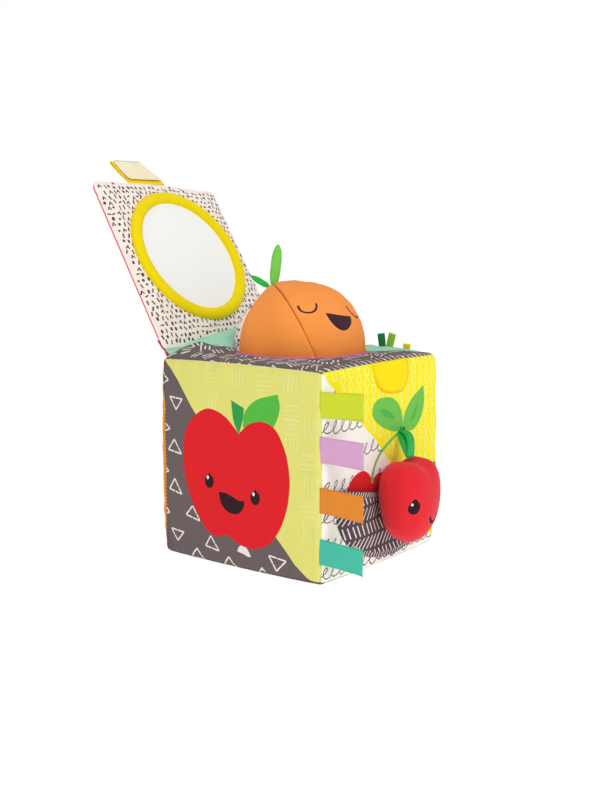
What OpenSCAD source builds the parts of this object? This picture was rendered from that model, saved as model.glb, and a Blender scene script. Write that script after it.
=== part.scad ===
// Baby activity cube: a soft foam cube with a mirror lid, a plush fruit held in
// the round opening on top, a plush cherry on a ribbon, a pocket and ribbon tags.
// Origin at the centre of the bottom face, +Z up. The cherry face looks along +X,
// the apple face along -Y, and the lid hinges on the top edge at -X.

/* [Cube] */
// Side of the cube
side = 160; // [154:1:172]
// Radius of the upright edges
edge_r = 5; // [3:0.5:8]
// Thickness of the cover fabric with its backing
cover_t = 1.2; // [0.8:0.1:1.4]
// Thickness of the foam walls
foam_t = 12; // [8:1:14]
// Thickness of the inner lining
lining_t = 1; // [0.6:0.1:1.4]
// Thickness of the crinkle film behind the apple
film_t = 0.3; // [0.2:0.1:0.4]

/* [Opening and fruit] */
// Radius of the opening inside its elastic binding
opening_r = 51.3; // [51.2:0.1:53]
// Width of the binding
binding_w = 3; // [2:0.5:4]
// Radius of the plush fruit
fruit_r = 50.8; // [46:0.1:50.9]
// Height of the fruit's centre above the floor
fruit_z = 168; // [160:1:172]
// Tilt of the fruit's stalk from upright
fruit_tilt = 27; // [20:1:32]

/* [Lid] */
// Width of the lid, along its hinge
lid_w = 146; // [130:1:150]
// Length of the lid from its hinge line
lid_len = 160; // [154:1:164]
// Thickness of the lid's foam pad
lid_foam_t = 6; // [4:0.5:7]
// Angle between the open lid and the closed lid
lid_open = 120.5; // [100:0.5:125]
// Radius of the mirror's visible film
mirror_r = 51.9; // [45:0.1:52]
// Angle that the closing tab leans out from the lid
tab_lean = 31; // [10:1:40]

/* [Cherry] */
// Half thickness, half width and half height of the plush cherry
cherry_semi = [21, 27.5, 33];
// Radius of the pocket's round lower edge
pocket_r = 92; // [88:1:94]
// How far the pocket's mouth stands off the face
pocket_bulge = 7; // [6.8:0.1:8]

/* [Ribbons] */
// Width of the wide satin ribbons
ribbon_w = 19; // [16:0.5:22]
// Length of the edge tags
tag_len = 31; // [24:1:34]
// Width of the narrow satin ribbons
narrow_w = 6; // [5:0.5:8]

/* [Hidden] */
$fn = 96;

half = side / 2;
foam_half = half - cover_t - film_t - 0.1;
floor_z = cover_t + foam_t;
ceiling_z = side - cover_t - foam_t;
lining_half = foam_half - foam_t;
hole_r = opening_r + binding_w;
binding_depth = 6;

// Turns that put a wall built on the +X side onto each side of the cube
right_turn = 0;
back_turn = 90;
left_turn = 180;
front_turn = 270;

hinge = [-half - 2, 0, side + 2];
hinge_roll_r = 2;
lid_shell_t = 1;
lid_flange_len = 9;
ring_r = 57.2;
ring_tube_r = 5.2;
mirror_at = [92, 4];
tab_w = 42;
tab_len = 20;
tab_y = -9;

fruit_turn = 200.4;
seam_turn = 24.8;
gore_t = 1.2;
capsule_r = 13;
capsule_len = 26;
leaf_t = 2.2;
stalk = [0, 0, fruit_r + 0.1];
tall_leaf_at = [-23, -7.5, 216.4];
short_leaf_at = [-26, -10, 214.2];

cherry_at = [half + 24, 1.9, 53.5];
panel_t = 1;
anchor = [half + 1, 23, 103.5];
loop_turn = -40.4;
loop_start = 3.2;
loop_run = 23;
loop_drop = 15.2;
loop_bow = 3.4;
loop_t = 0.7;

patch_r = 31;
patch_at = [5, 164.5];
pocket_at = [8.5, 96.4];
pocket_y = [-70, 76];
pocket_flat_y = -12;
pocket_t = 1.2;
pocket_gap = 0.2;

tag_t = 0.6;
tag_turn = 17;
tag_heights = [126, 93, 55.5, 16.5];
back_tag_len = 13;

module rounded_square(reach, r) {
  square([2 * reach, 2 * (reach - r)], center = true);
  square([2 * (reach - r), 2 * reach], center = true);
  for (x = [-1, 1], y = [-1, 1])
    translate([x * (reach - r), y * (reach - r)]) circle(r);
}

// One side of a square tube, mitred at 45 degrees at its upright edges
module wall(reach, r, t, z0, z1, turn) {
  translate([0, 0, z0]) linear_extrude(z1 - z0) intersection() {
    difference() {
      rounded_square(reach, r);
      rounded_square(reach - t, max(r - t, 1));
    }
    rotate(turn) polygon([[0, 0], [2 * reach, -2 * reach], [2 * reach, 2 * reach]]);
  }
}

module cover_wall(turn) {
  wall(half, edge_r, cover_t, cover_t, side - cover_t, turn);
}

module foam_wall(turn) {
  wall(foam_half, edge_r, foam_t, floor_z, ceiling_z, turn);
}

module front_cover() { color([0.89, 0.87, 0.48]) cover_wall(front_turn); }
module right_cover() { color([0.99, 0.93, 0.1]) cover_wall(right_turn); }
module back_cover() { color([0.55, 0.8, 0.72]) cover_wall(back_turn); }
module left_cover() { color([0.94, 0.6, 0.2]) cover_wall(left_turn); }

module bottom_cover() {
  color([0.55, 0.82, 0.78]) linear_extrude(cover_t) rounded_square(half, edge_r);
}

// Half of the top panel, cut along the diagonal and round the opening
module top_half(corner) {
  translate([0, 0, side - cover_t]) linear_extrude(cover_t) difference() {
    intersection() {
      rounded_square(half, edge_r);
      polygon([[-half, -half], [half, half], corner]);
    }
    circle(hole_r);
  }
}

module top_cover_grey() { color([0.42, 0.38, 0.38]) top_half([half, -half]); }
module top_cover_mint() { color([0.62, 0.84, 0.74]) top_half([-half, half]); }

module front_foam() { color("ivory") foam_wall(front_turn); }
module right_foam() { color("ivory") foam_wall(right_turn); }
module back_foam() { color("ivory") foam_wall(back_turn); }
module left_foam() { color("ivory") foam_wall(left_turn); }

module bottom_foam() {
  color("ivory") translate([0, 0, cover_t]) linear_extrude(foam_t)
    rounded_square(foam_half, edge_r);
}

module top_foam() {
  color("ivory") translate([0, 0, ceiling_z]) linear_extrude(foam_t) difference() {
    rounded_square(foam_half, edge_r);
    circle(hole_r);
  }
}

// A square bag with a round sleeve that lines the opening
module inner_lining() {
  r = 2;
  color([0.88, 0.55, 0.75]) {
    translate([0, 0, floor_z]) linear_extrude(lining_t) rounded_square(lining_half, r);
    translate([0, 0, floor_z + lining_t])
      linear_extrude(ceiling_z - floor_z - 2 * lining_t) difference() {
        rounded_square(lining_half, r);
        rounded_square(lining_half - lining_t, r - lining_t);
      }
    translate([0, 0, ceiling_z - lining_t]) linear_extrude(lining_t) difference() {
      rounded_square(lining_half, r);
      circle(hole_r - lining_t);
    }
    translate([0, 0, ceiling_z]) linear_extrude(side - binding_depth - ceiling_z)
      difference() {
        circle(hole_r);
        circle(hole_r - lining_t);
      }
  }
}

module opening_binding() {
  color([0.8, 0.36, 0.6]) rotate_extrude() {
    translate([opening_r, side - binding_depth]) square([binding_w, binding_depth]);
    translate([opening_r + binding_w / 2, side]) circle(binding_w / 2 - 0.03, $fn = 32);
  }
}

module crinkle_film() {
  margin = 15;
  color([0.9, 0.92, 0.95, 0.6])
    translate([margin - half, cover_t + 0.05 - half, margin])
      cube([side - 2 * margin, film_t, side - 2 * margin]);
}

// Puts a drawing of the Y-Z plane on the +X face and gives it a thickness
module on_right_face(t) {
  translate([half, 0, 0]) rotate([90, 0, 90]) linear_extrude(t) children();
}

module closure_patch() {
  color([1, 0.9, 0]) on_right_face(1) intersection() {
    translate(patch_at) circle(patch_r);
    translate([-half, 0]) square([side, side - cover_t]);
  }
}

// Pocket: a skin over a grid of points between its round lower edge and its mouth
pocket_cols = 30;
pocket_rows = 8;
function pocket_col_y(i) = pocket_y[0] + (pocket_y[1] - pocket_y[0]) * i / pocket_cols;
function pocket_low(y) = pocket_at[1] - sqrt(pocket_r ^ 2 - (y - pocket_at[0]) ^ 2);
function pocket_top(y) = 61 + 10 * ((y - 5) / 75) ^ 2;
function pocket_fill(y) =
  y < pocket_flat_y ? sin(180 * (y - pocket_y[0]) / (pocket_flat_y - pocket_y[0])) : 0;
function pocket_point(i, j, lift) =
  let(y = pocket_col_y(i), t = j / pocket_rows)
    [half + lift + pocket_bulge * pocket_fill(y) * sin(90 * t), y,
     pocket_low(y) + t * (pocket_top(y) - pocket_low(y))];
pocket_skin = [for (lift = [pocket_gap, pocket_gap + pocket_t], i = [0 : pocket_cols],
                    j = [0 : pocket_rows]) pocket_point(i, j, lift)];
function pocket_id(s, i, j) =
  s * (pocket_cols + 1) * (pocket_rows + 1) + i * (pocket_rows + 1) + j;
pocket_faces = concat(
  [for (i = [0 : pocket_cols - 1], j = [0 : pocket_rows - 1])
    [pocket_id(0, i, j), pocket_id(0, i + 1, j), pocket_id(0, i + 1, j + 1),
     pocket_id(0, i, j + 1)]],
  [for (i = [0 : pocket_cols - 1], j = [0 : pocket_rows - 1])
    [pocket_id(1, i, j), pocket_id(1, i, j + 1), pocket_id(1, i + 1, j + 1),
     pocket_id(1, i + 1, j)]],
  [for (i = [0 : pocket_cols - 1])
    [pocket_id(0, i, 0), pocket_id(1, i, 0), pocket_id(1, i + 1, 0),
     pocket_id(0, i + 1, 0)]],
  [for (i = [0 : pocket_cols - 1])
    [pocket_id(0, i, pocket_rows), pocket_id(0, i + 1, pocket_rows),
     pocket_id(1, i + 1, pocket_rows), pocket_id(1, i, pocket_rows)]],
  [for (j = [0 : pocket_rows - 1])
    [pocket_id(0, 0, j), pocket_id(0, 0, j + 1), pocket_id(1, 0, j + 1),
     pocket_id(1, 0, j)]],
  [for (j = [0 : pocket_rows - 1])
    [pocket_id(0, pocket_cols, j), pocket_id(1, pocket_cols, j),
     pocket_id(1, pocket_cols, j + 1), pocket_id(0, pocket_cols, j + 1)]]);

module cherry_pocket() {
  color([0.33, 0.28, 0.3]) polyhedron(pocket_skin, pocket_faces);
}

// Strip sewn along the top edge that ends in the roll the lid turns about
module lid_hinge_tape() {
  strip_t = 1;
  color([0.9, 0.35, 0.4]) {
    translate([hinge[0], -lid_w / 2, side + 0.2]) cube([12, lid_w, strip_t]);
    translate([hinge[0], lid_w / 2, hinge[2]]) rotate([90, 0, 0])
      cylinder(h = lid_w, r = hinge_roll_r, $fn = 32);
  }
}

module loop_bar_tack() {
  color([0, 0.4, 0.25]) translate([half, anchor[1] - 4, anchor[2] - 1])
    cube([0.5, 8, 2.4]);
}

// Lid frame: +X runs from the hinge to the free edge, -Z looks at the fruit
module on_lid() {
  translate(hinge) rotate([0, -lid_open, 0]) children();
}

module lid_panel(z, t, start, shrink) {
  translate([start, shrink - lid_w / 2, z])
    cube([lid_len - start - shrink, lid_w - 2 * shrink, t]);
}

module lid_outer_cover() {
  color([0.92, 0.36, 0.42]) on_lid() {
    lid_panel(lid_foam_t / 2, lid_shell_t, lid_flange_len, 0);
    translate([lid_len - lid_shell_t, -lid_w / 2, -lid_foam_t / 2])
      cube([lid_shell_t, lid_w, lid_foam_t]);
    translate([hinge_roll_r + 0.4, -lid_w / 2, 0])
      cube([lid_flange_len - hinge_roll_r - 0.4, lid_w, 0.8]);
    translate([lid_flange_len - lid_shell_t, -lid_w / 2, 0])
      cube([lid_shell_t, lid_w, lid_foam_t / 2 + lid_shell_t]);
  }
}

module lid_foam() {
  color("ivory") on_lid()
    lid_panel(-lid_foam_t / 2, lid_foam_t, lid_flange_len, lid_shell_t);
}

module lid_lining() {
  color([0.97, 0.92, 0.86]) on_lid()
    lid_panel(-lid_foam_t / 2 - lid_shell_t, lid_shell_t, lid_flange_len, 0);
}

lining_z = -lid_foam_t / 2 - lid_shell_t;

module mirror_film() {
  film = 0.8;
  color([0.93, 0.92, 0.9]) on_lid()
    translate([mirror_at[0], mirror_at[1], lining_z - film]) cylinder(h = film, r = mirror_r);
}

// Stuffed ring: a tube cut flat where it is sewn to the lining
module mirror_ring() {
  sink = 1.5;
  color([0.98, 0.88, 0]) on_lid()
    translate([mirror_at[0], mirror_at[1], lining_z - sink]) difference() {
      rotate_extrude() translate([ring_r, 0]) circle(ring_tube_r, $fn = 48);
      translate([-100, -100, sink]) cube([200, 200, 20]);
    }
}

// Tab frame: at the middle of the lid's free edge, leaning outwards
module on_tab() {
  on_lid() translate([lid_len + 0.8, tab_y, 0]) rotate([0, -tab_lean, 0]) children();
}

module lid_tab_ribbon() {
  strip_t = 1.4;
  color([0.98, 0.85, 0.45]) on_tab()
    translate([1.2, -tab_w / 2, -strip_t / 2]) cube([tab_len, tab_w, strip_t]);
}

module lid_tab_hook() {
  color("white") on_tab() translate([6, -16, -1.7]) cube([12, 32, 1]);
}

module on_fruit() {
  translate([0, 0, fruit_z]) rotate([0, fruit_tilt, fruit_turn])
    rotate(seam_turn) children();
}

// One of the four gores that are sewn together from pole to pole
module fruit_gore(number) {
  reach = fruit_r + 5;
  color([0.94, 0.56, 0.25]) on_fruit() intersection() {
    difference() {
      sphere(fruit_r);
      sphere(fruit_r - gore_t);
    }
    rotate(90 * number) translate([0, 0, -reach]) cube([reach, reach, 2 * reach]);
  }
}

module fruit_gore_1() { fruit_gore(1); }
module fruit_gore_2() { fruit_gore(2); }
module fruit_gore_3() { fruit_gore(3); }
module fruit_gore_4() { fruit_gore(4); }

module fruit_stuffing() {
  color("white") on_fruit() difference() {
    sphere(fruit_r - gore_t);
    cylinder(h = capsule_len, r = capsule_r, center = true);
  }
}

module rattle_capsule() {
  wall_t = 1.5;
  color("gold") on_fruit() difference() {
    cylinder(h = capsule_len, r = capsule_r, center = true);
    cylinder(h = capsule_len - 2 * wall_t, r = capsule_r - wall_t, center = true);
  }
}

module rattle_beads() {
  bead_r = 2.3;
  ring_count = 6;
  color("tomato") on_fruit() translate([0, 0, -9]) {
    sphere(bead_r, $fn = 24);
    for (k = [1 : ring_count]) rotate(360 * k / ring_count) translate([6.5, 0, 0])
      sphere(bead_r, $fn = 24);
  }
}

module leaf_stitch() {
  color([0.1, 0.2, 0.12]) on_fruit() translate(stalk) cylinder(h = 0.8, r = 3.5);
}

// Leaf outline: two arcs that meet at both ends, standing along +Z
module leaf(length, width) {
  arc_r = (length ^ 2 / 4 + width ^ 2 / 4) / width;
  translate([0, leaf_t / 2, length / 2]) rotate([90, 0, 0]) linear_extrude(leaf_t)
    intersection() {
      translate([arc_r - width / 2, 0]) circle(arc_r);
      translate([width / 2 - arc_r, 0]) circle(arc_r);
    }
}

module leaf_tall() {
  color([0.5, 0.8, 0.3]) translate(tall_leaf_at) rotate([-11, 1, 20]) leaf(30, 12);
}

module leaf_short() {
  color([0.25, 0.75, 0.35]) translate(short_leaf_at) rotate([0, -70, 178])
    rotate([0, 140, 0]) rotate(25) leaf(22, 10);
}

// Cherry: a stuffed form, fuller above its middle
cherry_rings = 20;
cherry_segments = 32;
function cherry_level(i) = -90 + 180 * i / cherry_rings;
function cherry_girth(a) = cos(a) * (1 + 0.1 * sin(a)) / 1.006;
function cherry_points(inset) =
  let(s = [for (c = cherry_semi) c - inset])
    concat([[0, 0, -s[2]]],
      [for (i = [1 : cherry_rings - 1], k = [0 : cherry_segments - 1])
        let(a = cherry_level(i), b = 360 * k / cherry_segments)
          [s[0] * cherry_girth(a) * cos(b), s[1] * cherry_girth(a) * sin(b), s[2] * sin(a)]],
      [[0, 0, s[2]]]);
function cherry_id(i, k) = 1 + (i - 1) * cherry_segments + k % cherry_segments;
cherry_top_id = 1 + (cherry_rings - 1) * cherry_segments;
cherry_faces = concat(
  [for (k = [0 : cherry_segments - 1]) [0, cherry_id(1, k), cherry_id(1, k + 1)]],
  [for (i = [1 : cherry_rings - 2], k = [0 : cherry_segments - 1])
    [cherry_id(i, k), cherry_id(i + 1, k), cherry_id(i + 1, k + 1), cherry_id(i, k + 1)]],
  [for (k = [0 : cherry_segments - 1])
    [cherry_top_id, cherry_id(cherry_rings - 1, k + 1), cherry_id(cherry_rings - 1, k)]]);

module cherry_form(inset) {
  polyhedron(cherry_points(inset), cherry_faces);
}

module cherry_panel(to_front) {
  reach = 50;
  color([0.88, 0.2, 0.22]) translate(cherry_at) intersection() {
    difference() {
      cherry_form(0);
      cherry_form(panel_t);
    }
    translate([to_front ? 0 : -reach, -reach, -reach]) cube([reach, 2 * reach, 2 * reach]);
  }
}

module cherry_front_panel() { cherry_panel(true); }
module cherry_back_panel() { cherry_panel(false); }
module cherry_stuffing() { color("white") translate(cherry_at) cherry_form(panel_t + 0.05); }

// Ribbon loop: a bowed strand in front of a straighter one, joined at both ends
loop_steps = 12;
function loop_point(t, bow, lift) =
  [loop_start + loop_run * t, -loop_drop * t + bow * sin(180 * t) + lift];
function strand(bow) = concat(
  [for (i = [0 : loop_steps]) loop_point(i / loop_steps, bow, loop_t / 2)],
  [for (i = [loop_steps : -1 : 0]) loop_point(i / loop_steps, bow, -loop_t / 2)]);

module cherry_loop() {
  color([0.08, 0.65, 0.3]) translate(anchor) rotate([90, 0, loop_turn])
    translate([0, 0, -narrow_w / 2]) linear_extrude(narrow_w) {
      polygon(strand(loop_bow));
      polygon(strand(0.3));
    }
}

// Folded ribbon seen from above: two strands that open into a rounded fold
module tag_outline(length, gap) {
  r = gap / 2 + tag_t;
  difference() {
    union() {
      translate([length - r, 0]) circle(r, $fn = 32);
      polygon([[1, -tag_t], [length - r, -r], [length - r, r], [1, tag_t]]);
    }
    translate([length - r, 0]) circle(r - tag_t, $fn = 32);
    polygon([[6, 0], [length - r, tag_t - r], [length - r, r - tag_t]]);
  }
}

module edge_tag(level) {
  translate([half, -half, tag_heights[level]]) rotate(tag_turn)
    linear_extrude(ribbon_w) tag_outline(tag_len, 3.4);
}

module tag_lime() { color([0.8, 0.86, 0.15]) edge_tag(0); }
module tag_lilac() { color([0.82, 0.62, 0.82]) edge_tag(1); }
module tag_orange() { color([0.94, 0.6, 0.15]) edge_tag(2); }
module tag_teal() { color([0.2, 0.74, 0.64]) edge_tag(3); }

// Narrow tag that stands on the top edge at the back
module back_tag(x, lean, length) {
  translate([x, half + 1.6, side + 0.6]) rotate([0, lean, 0]) rotate([0, -90, 0])
    translate([0, 0, -narrow_w / 2]) linear_extrude(narrow_w) tag_outline(length, 1.4);
}

module back_tag_green() { color([0.05, 0.5, 0.26]) back_tag(22, -8, back_tag_len); }
module back_tag_lime() { color([0.6, 0.8, 0.2]) back_tag(32, 14, back_tag_len); }
module back_tag_yellow() { color([0.98, 0.8, 0.15]) back_tag(52, 0, back_tag_len / 2); }

front_cover();
right_cover();
back_cover();
left_cover();
bottom_cover();
top_cover_grey();
top_cover_mint();
front_foam();
right_foam();
back_foam();
left_foam();
bottom_foam();
top_foam();
inner_lining();
opening_binding();
crinkle_film();
closure_patch();
cherry_pocket();
lid_hinge_tape();
loop_bar_tack();
lid_outer_cover();
lid_foam();
lid_lining();
mirror_film();
mirror_ring();
lid_tab_ribbon();
lid_tab_hook();
fruit_gore_1();
fruit_gore_2();
fruit_gore_3();
fruit_gore_4();
fruit_stuffing();
rattle_capsule();
rattle_beads();
leaf_stitch();
leaf_tall();
leaf_short();
cherry_loop();
cherry_front_panel();
cherry_back_panel();
cherry_stuffing();
tag_lime();
tag_lilac();
tag_orange();
tag_teal();
back_tag_green();
back_tag_lime();
back_tag_yellow();
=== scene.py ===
import random
from math import acos, atan2, copysign, cos, dist, exp, hypot, pi, radians, sin, sqrt, tau

import bpy
import numpy as np
from mathutils import Matrix, Vector, noise
from mathutils.geometry import delaunay_2d_cdt


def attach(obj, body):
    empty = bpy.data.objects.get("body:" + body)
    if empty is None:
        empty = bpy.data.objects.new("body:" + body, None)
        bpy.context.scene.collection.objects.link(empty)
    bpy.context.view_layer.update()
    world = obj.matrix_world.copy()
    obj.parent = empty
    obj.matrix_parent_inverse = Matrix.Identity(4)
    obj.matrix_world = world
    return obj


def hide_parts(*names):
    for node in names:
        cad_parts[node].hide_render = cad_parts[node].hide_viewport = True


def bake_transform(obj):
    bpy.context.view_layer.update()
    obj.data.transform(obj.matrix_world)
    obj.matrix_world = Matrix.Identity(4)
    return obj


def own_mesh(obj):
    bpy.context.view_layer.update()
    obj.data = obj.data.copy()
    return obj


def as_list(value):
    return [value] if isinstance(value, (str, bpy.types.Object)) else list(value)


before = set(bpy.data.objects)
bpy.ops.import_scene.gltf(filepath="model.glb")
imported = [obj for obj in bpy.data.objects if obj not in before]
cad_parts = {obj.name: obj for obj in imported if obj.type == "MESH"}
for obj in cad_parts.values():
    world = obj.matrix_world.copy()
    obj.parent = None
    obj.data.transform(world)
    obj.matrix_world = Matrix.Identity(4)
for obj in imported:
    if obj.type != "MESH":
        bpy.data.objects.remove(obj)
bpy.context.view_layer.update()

# A soft activity cube. Lengths are in millimetres in the part's own frame, and
# mesh_object() turns them into metres.
MM = 0.001
HALF = 80.0  # half of the cube's edge
EDGE_R = 5.5  # rounding of its edges
CORE = HALF - EDGE_R
BOW = 2.3  # how far the middle of an edge stands out


# ---------------------------------------------------------------- materials

def rgb(r, g, b):
    """Colour for a shader socket from 0 to 255 display values."""
    def linear(c):
        c /= 255.0
        return c / 12.92 if c <= 0.04045 else ((c + 0.055) / 1.055) ** 2.4
    return (linear(r), linear(g), linear(b), 1.0)


def scaled(colour, k):
    return tuple(min(1.0, c * k) for c in colour[:3]) + (1.0,)


class Graph:
    """A short way to write a node tree."""

    def __init__(self, name):
        self.material = bpy.data.materials.new(name)
        self.material.use_nodes = True
        self.nodes = self.material.node_tree.nodes
        self.links = self.material.node_tree.links
        self.shader = self.nodes["Principled BSDF"]

    def add(self, kind, **settings):
        node = self.nodes.new(kind)
        for key, value in settings.items():
            setattr(node, key, value)
        return node

    def link(self, out, into):
        self.links.new(out, into)

    def math(self, operation, a, b=None):
        node = self.add("ShaderNodeMath", operation=operation)
        for slot, value in enumerate((a, b)):
            if value is None:
                continue
            if isinstance(value, (int, float)):
                node.inputs[slot].default_value = value
            else:
                self.link(value, node.inputs[slot])
        return node.outputs[0]

    def noise(self, vector, scale, detail=2.0):
        node = self.add("ShaderNodeTexNoise")
        node.inputs["Scale"].default_value = scale
        node.inputs["Detail"].default_value = detail
        self.link(vector, node.inputs["Vector"])
        return node.outputs["Fac"]

    def mix(self, factor, a, b):
        node = self.add("ShaderNodeMix", data_type="RGBA")
        self.link(factor, node.inputs[0])
        for slot, value in ((6, a), (7, b)):
            if isinstance(value, tuple):
                node.inputs[slot].default_value = value
            else:
                self.link(value, node.inputs[slot])
        return node.outputs[2]

    def bump(self, height, strength, distance):
        node = self.add("ShaderNodeBump")
        node.inputs["Strength"].default_value = strength
        node.inputs["Distance"].default_value = distance
        self.link(height, node.inputs["Height"])
        self.link(node.outputs["Normal"], self.shader.inputs["Normal"])

    def set(self, **values):
        for key, value in values.items():
            self.shader.inputs[key.replace("_", " ")].default_value = value


def threads(g, pitch, flat):
    """Height of a plain weave: on the flat pattern, or through the solid."""
    coords = g.add("ShaderNodeTexCoord")
    source = coords.outputs["UV" if flat else "Object"]
    split = g.add("ShaderNodeSeparateXYZ")
    g.link(source, split.inputs[0])
    waves = [g.math("SINE", g.math("MULTIPLY", out, tau / pitch))
             for out in split.outputs]
    if flat:
        return source, g.math("MULTIPLY", waves[0], waves[1])
    total = g.math("MULTIPLY", waves[0], waves[1])
    total = g.math("ADD", total, g.math("MULTIPLY", waves[1], waves[2]))
    return source, g.math("ADD", total, g.math("MULTIPLY", waves[2], waves[0]))


def fabric(name, colour, pitch=0.0009, flat=True, rough=0.88, sheen=0.05,
           mottle=0.035, relief=0.35, fuzz=0.5, tint=None):
    """Woven cloth: threads, fine fuzz and a faint unevenness in its colour."""
    g = Graph(name)
    source, weave = threads(g, pitch, flat)
    cloud = g.noise(source, 55.0, 3.0)
    grain = g.noise(source, 1500.0, 2.0)
    mixed = g.math("ADD", g.math("MULTIPLY", cloud, 0.55),
                   g.math("MULTIPLY", grain, 0.45))
    mixed = g.math("ADD", mixed, g.math("MULTIPLY", weave, 0.10))
    low, high = scaled(colour, 1 - 1.6 * mottle), scaled(colour, 1 + 1.6 * mottle)
    g.link(g.mix(mixed, low, high), g.shader.inputs["Base Color"])
    height = g.math("ADD", weave, g.math("MULTIPLY", grain, fuzz * 2))
    g.bump(height, relief, 0.00025)
    g.set(Roughness=rough, Sheen_Weight=sheen, Sheen_Roughness=0.45,
          Specular_IOR_Level=0.15)
    g.shader.inputs["Sheen Tint"].default_value = tint or (1, 1, 1, 1)
    return g.material


def plush(name, colour):
    return fabric(name, colour, pitch=0.0011, flat=False, rough=0.9, sheen=0.06,
                  mottle=0.04, relief=0.3, fuzz=0.8)


def satin(name, colour, rough=0.38):
    """Woven ribbon: fine ribs across its length and a soft gloss."""
    g = Graph(name)
    coords = g.add("ShaderNodeTexCoord")
    split = g.add("ShaderNodeSeparateXYZ")
    g.link(coords.outputs["UV"], split.inputs[0])
    ribs = g.math("SINE", g.math("MULTIPLY", split.outputs[0], tau / 0.0007))
    streak = g.add("ShaderNodeMapping")
    streak.inputs["Scale"].default_value = (1.0, 9.0, 1.0)
    g.link(coords.outputs["UV"], streak.inputs["Vector"])
    cloud = g.noise(streak.outputs[0], 70.0, 3.0)
    g.link(g.mix(cloud, scaled(colour, 0.95), scaled(colour, 1.05)),
           g.shader.inputs["Base Color"])
    g.bump(g.math("ADD", ribs, g.math("MULTIPLY", cloud, 1.0)), 0.1, 0.00015)
    g.set(Roughness=rough, Sheen_Weight=0.03, Specular_IOR_Level=0.35)
    return g.material


def smooth_stuff(name, colour, rough, metallic=0.0, grain=400.0, relief=0.1,
                 transmission=0.0, spread=0.05):
    """Thread, film, foam and plastic: a grain through the solid."""
    g = Graph(name)
    coords = g.add("ShaderNodeTexCoord")
    cloud = g.noise(coords.outputs["Object"], grain, 3.0)
    g.link(g.mix(cloud, scaled(colour, 1 - spread), scaled(colour, 1 + spread)),
           g.shader.inputs["Base Color"])
    g.bump(cloud, relief, 0.0006)
    g.set(Roughness=rough, Metallic=metallic, Transmission_Weight=transmission)
    return g.material


C = {
    "pear": rgb(226, 222, 120), "hatch": rgb(233, 230, 152),
    "grey": rgb(106, 94, 95), "chalk": rgb(238, 228, 218),
    "apple": rgb(222, 30, 38), "leaf_print": rgb(84, 186, 66),
    "stem_print": rgb(44, 158, 74), "ink": rgb(44, 26, 30),
    "yellow": rgb(252, 236, 8), "zeros": rgb(246, 240, 120),
    "patch": rgb(255, 226, 0), "cream": rgb(252, 246, 238),
    "scribble": rgb(98, 88, 92), "sprig": rgb(114, 194, 82),
    "sprig_vein": rgb(84, 182, 70), "plum": rgb(86, 70, 80),
    "mint": rgb(160, 216, 186), "pink": rgb(214, 110, 170),
    "coral": rgb(238, 90, 108), "lining": rgb(248, 234, 225),
    "terrazzo": rgb(78, 70, 70), "gold": rgb(240, 150, 50),
    "teal_cloth": rgb(140, 212, 202), "orange": rgb(248, 152, 72),
    "face": rgb(66, 34, 46), "cherry": rgb(226, 38, 50),
}
M = {key: fabric("cloth_" + key, value) for key, value in C.items()
     if key not in ("orange", "face", "cherry")}
M["orange"] = fabric("cloth_orange", C["orange"], pitch=0.001, sheen=0.04, mottle=0.03)
M["face"] = fabric("cloth_face", C["face"], pitch=0.001)
M["cherry"] = fabric("cloth_cherry", C["cherry"], pitch=0.001, mottle=0.04, sheen=0.16)
M["white_dot"] = fabric("cloth_white_dot", rgb(250, 246, 244))
M["ring"] = plush("fleece_yellow", rgb(240, 216, 0))
M["leaf_light"] = fabric("leaf_light", rgb(120, 206, 84), flat=False)
M["leaf_deep"] = fabric("leaf_deep", rgb(40, 190, 60), flat=False)
for key, shade in (("lime", (196, 209, 18)), ("lilac", (205, 154, 193)),
                   ("amber", (217, 127, 10)), ("teal", (54, 181, 155)),
                   ("sun", (252, 214, 10)), ("green", (16, 168, 74)),
                   ("deep_green", (14, 128, 64)), ("grass", (150, 204, 46))):
    M[key] = satin("satin_" + key, rgb(*shade))
M["hook"] = fabric("hook_tape", rgb(255, 240, 206), pitch=0.0016, relief=0.7)
M["mirror"] = smooth_stuff("mirror_film", rgb(255, 253, 250), 0.15, 0.12, 14.0, 0.25,
                           spread=0.02)
M["film"] = smooth_stuff("crinkle_film", rgb(226, 232, 240), 0.12, 0.0, 60.0, 0.8, 0.6)
M["foam"] = smooth_stuff("foam", rgb(246, 238, 214), 0.95, 0.0, 900.0, 0.9)
M["fibre"] = smooth_stuff("fibre", rgb(246, 246, 244), 0.95, 0.0, 700.0, 0.9)
M["capsule"] = smooth_stuff("capsule_plastic", rgb(246, 200, 40), 0.32, 0.0, 30.0, 0.05)
M["bead"] = smooth_stuff("bead_plastic", rgb(236, 92, 60), 0.25, 0.0, 30.0, 0.05)
for key, shade in (("dark_thread", rgb(52, 42, 44)), ("rust_thread", rgb(132, 58, 22)),
                   ("amber_thread", rgb(250, 196, 0)), ("pale_thread", rgb(240, 234, 224)),
                   ("yellow_thread", rgb(226, 196, 0)), ("moss_thread", rgb(20, 122, 62)),
                   ("red_thread", rgb(176, 24, 34)), ("mint_thread", rgb(118, 186, 156))):
    M[key] = smooth_stuff(key, shade, 0.7, 0.0, 2400.0, 0.5)


# ---------------------------------------------------------------- mesh tools

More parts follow.
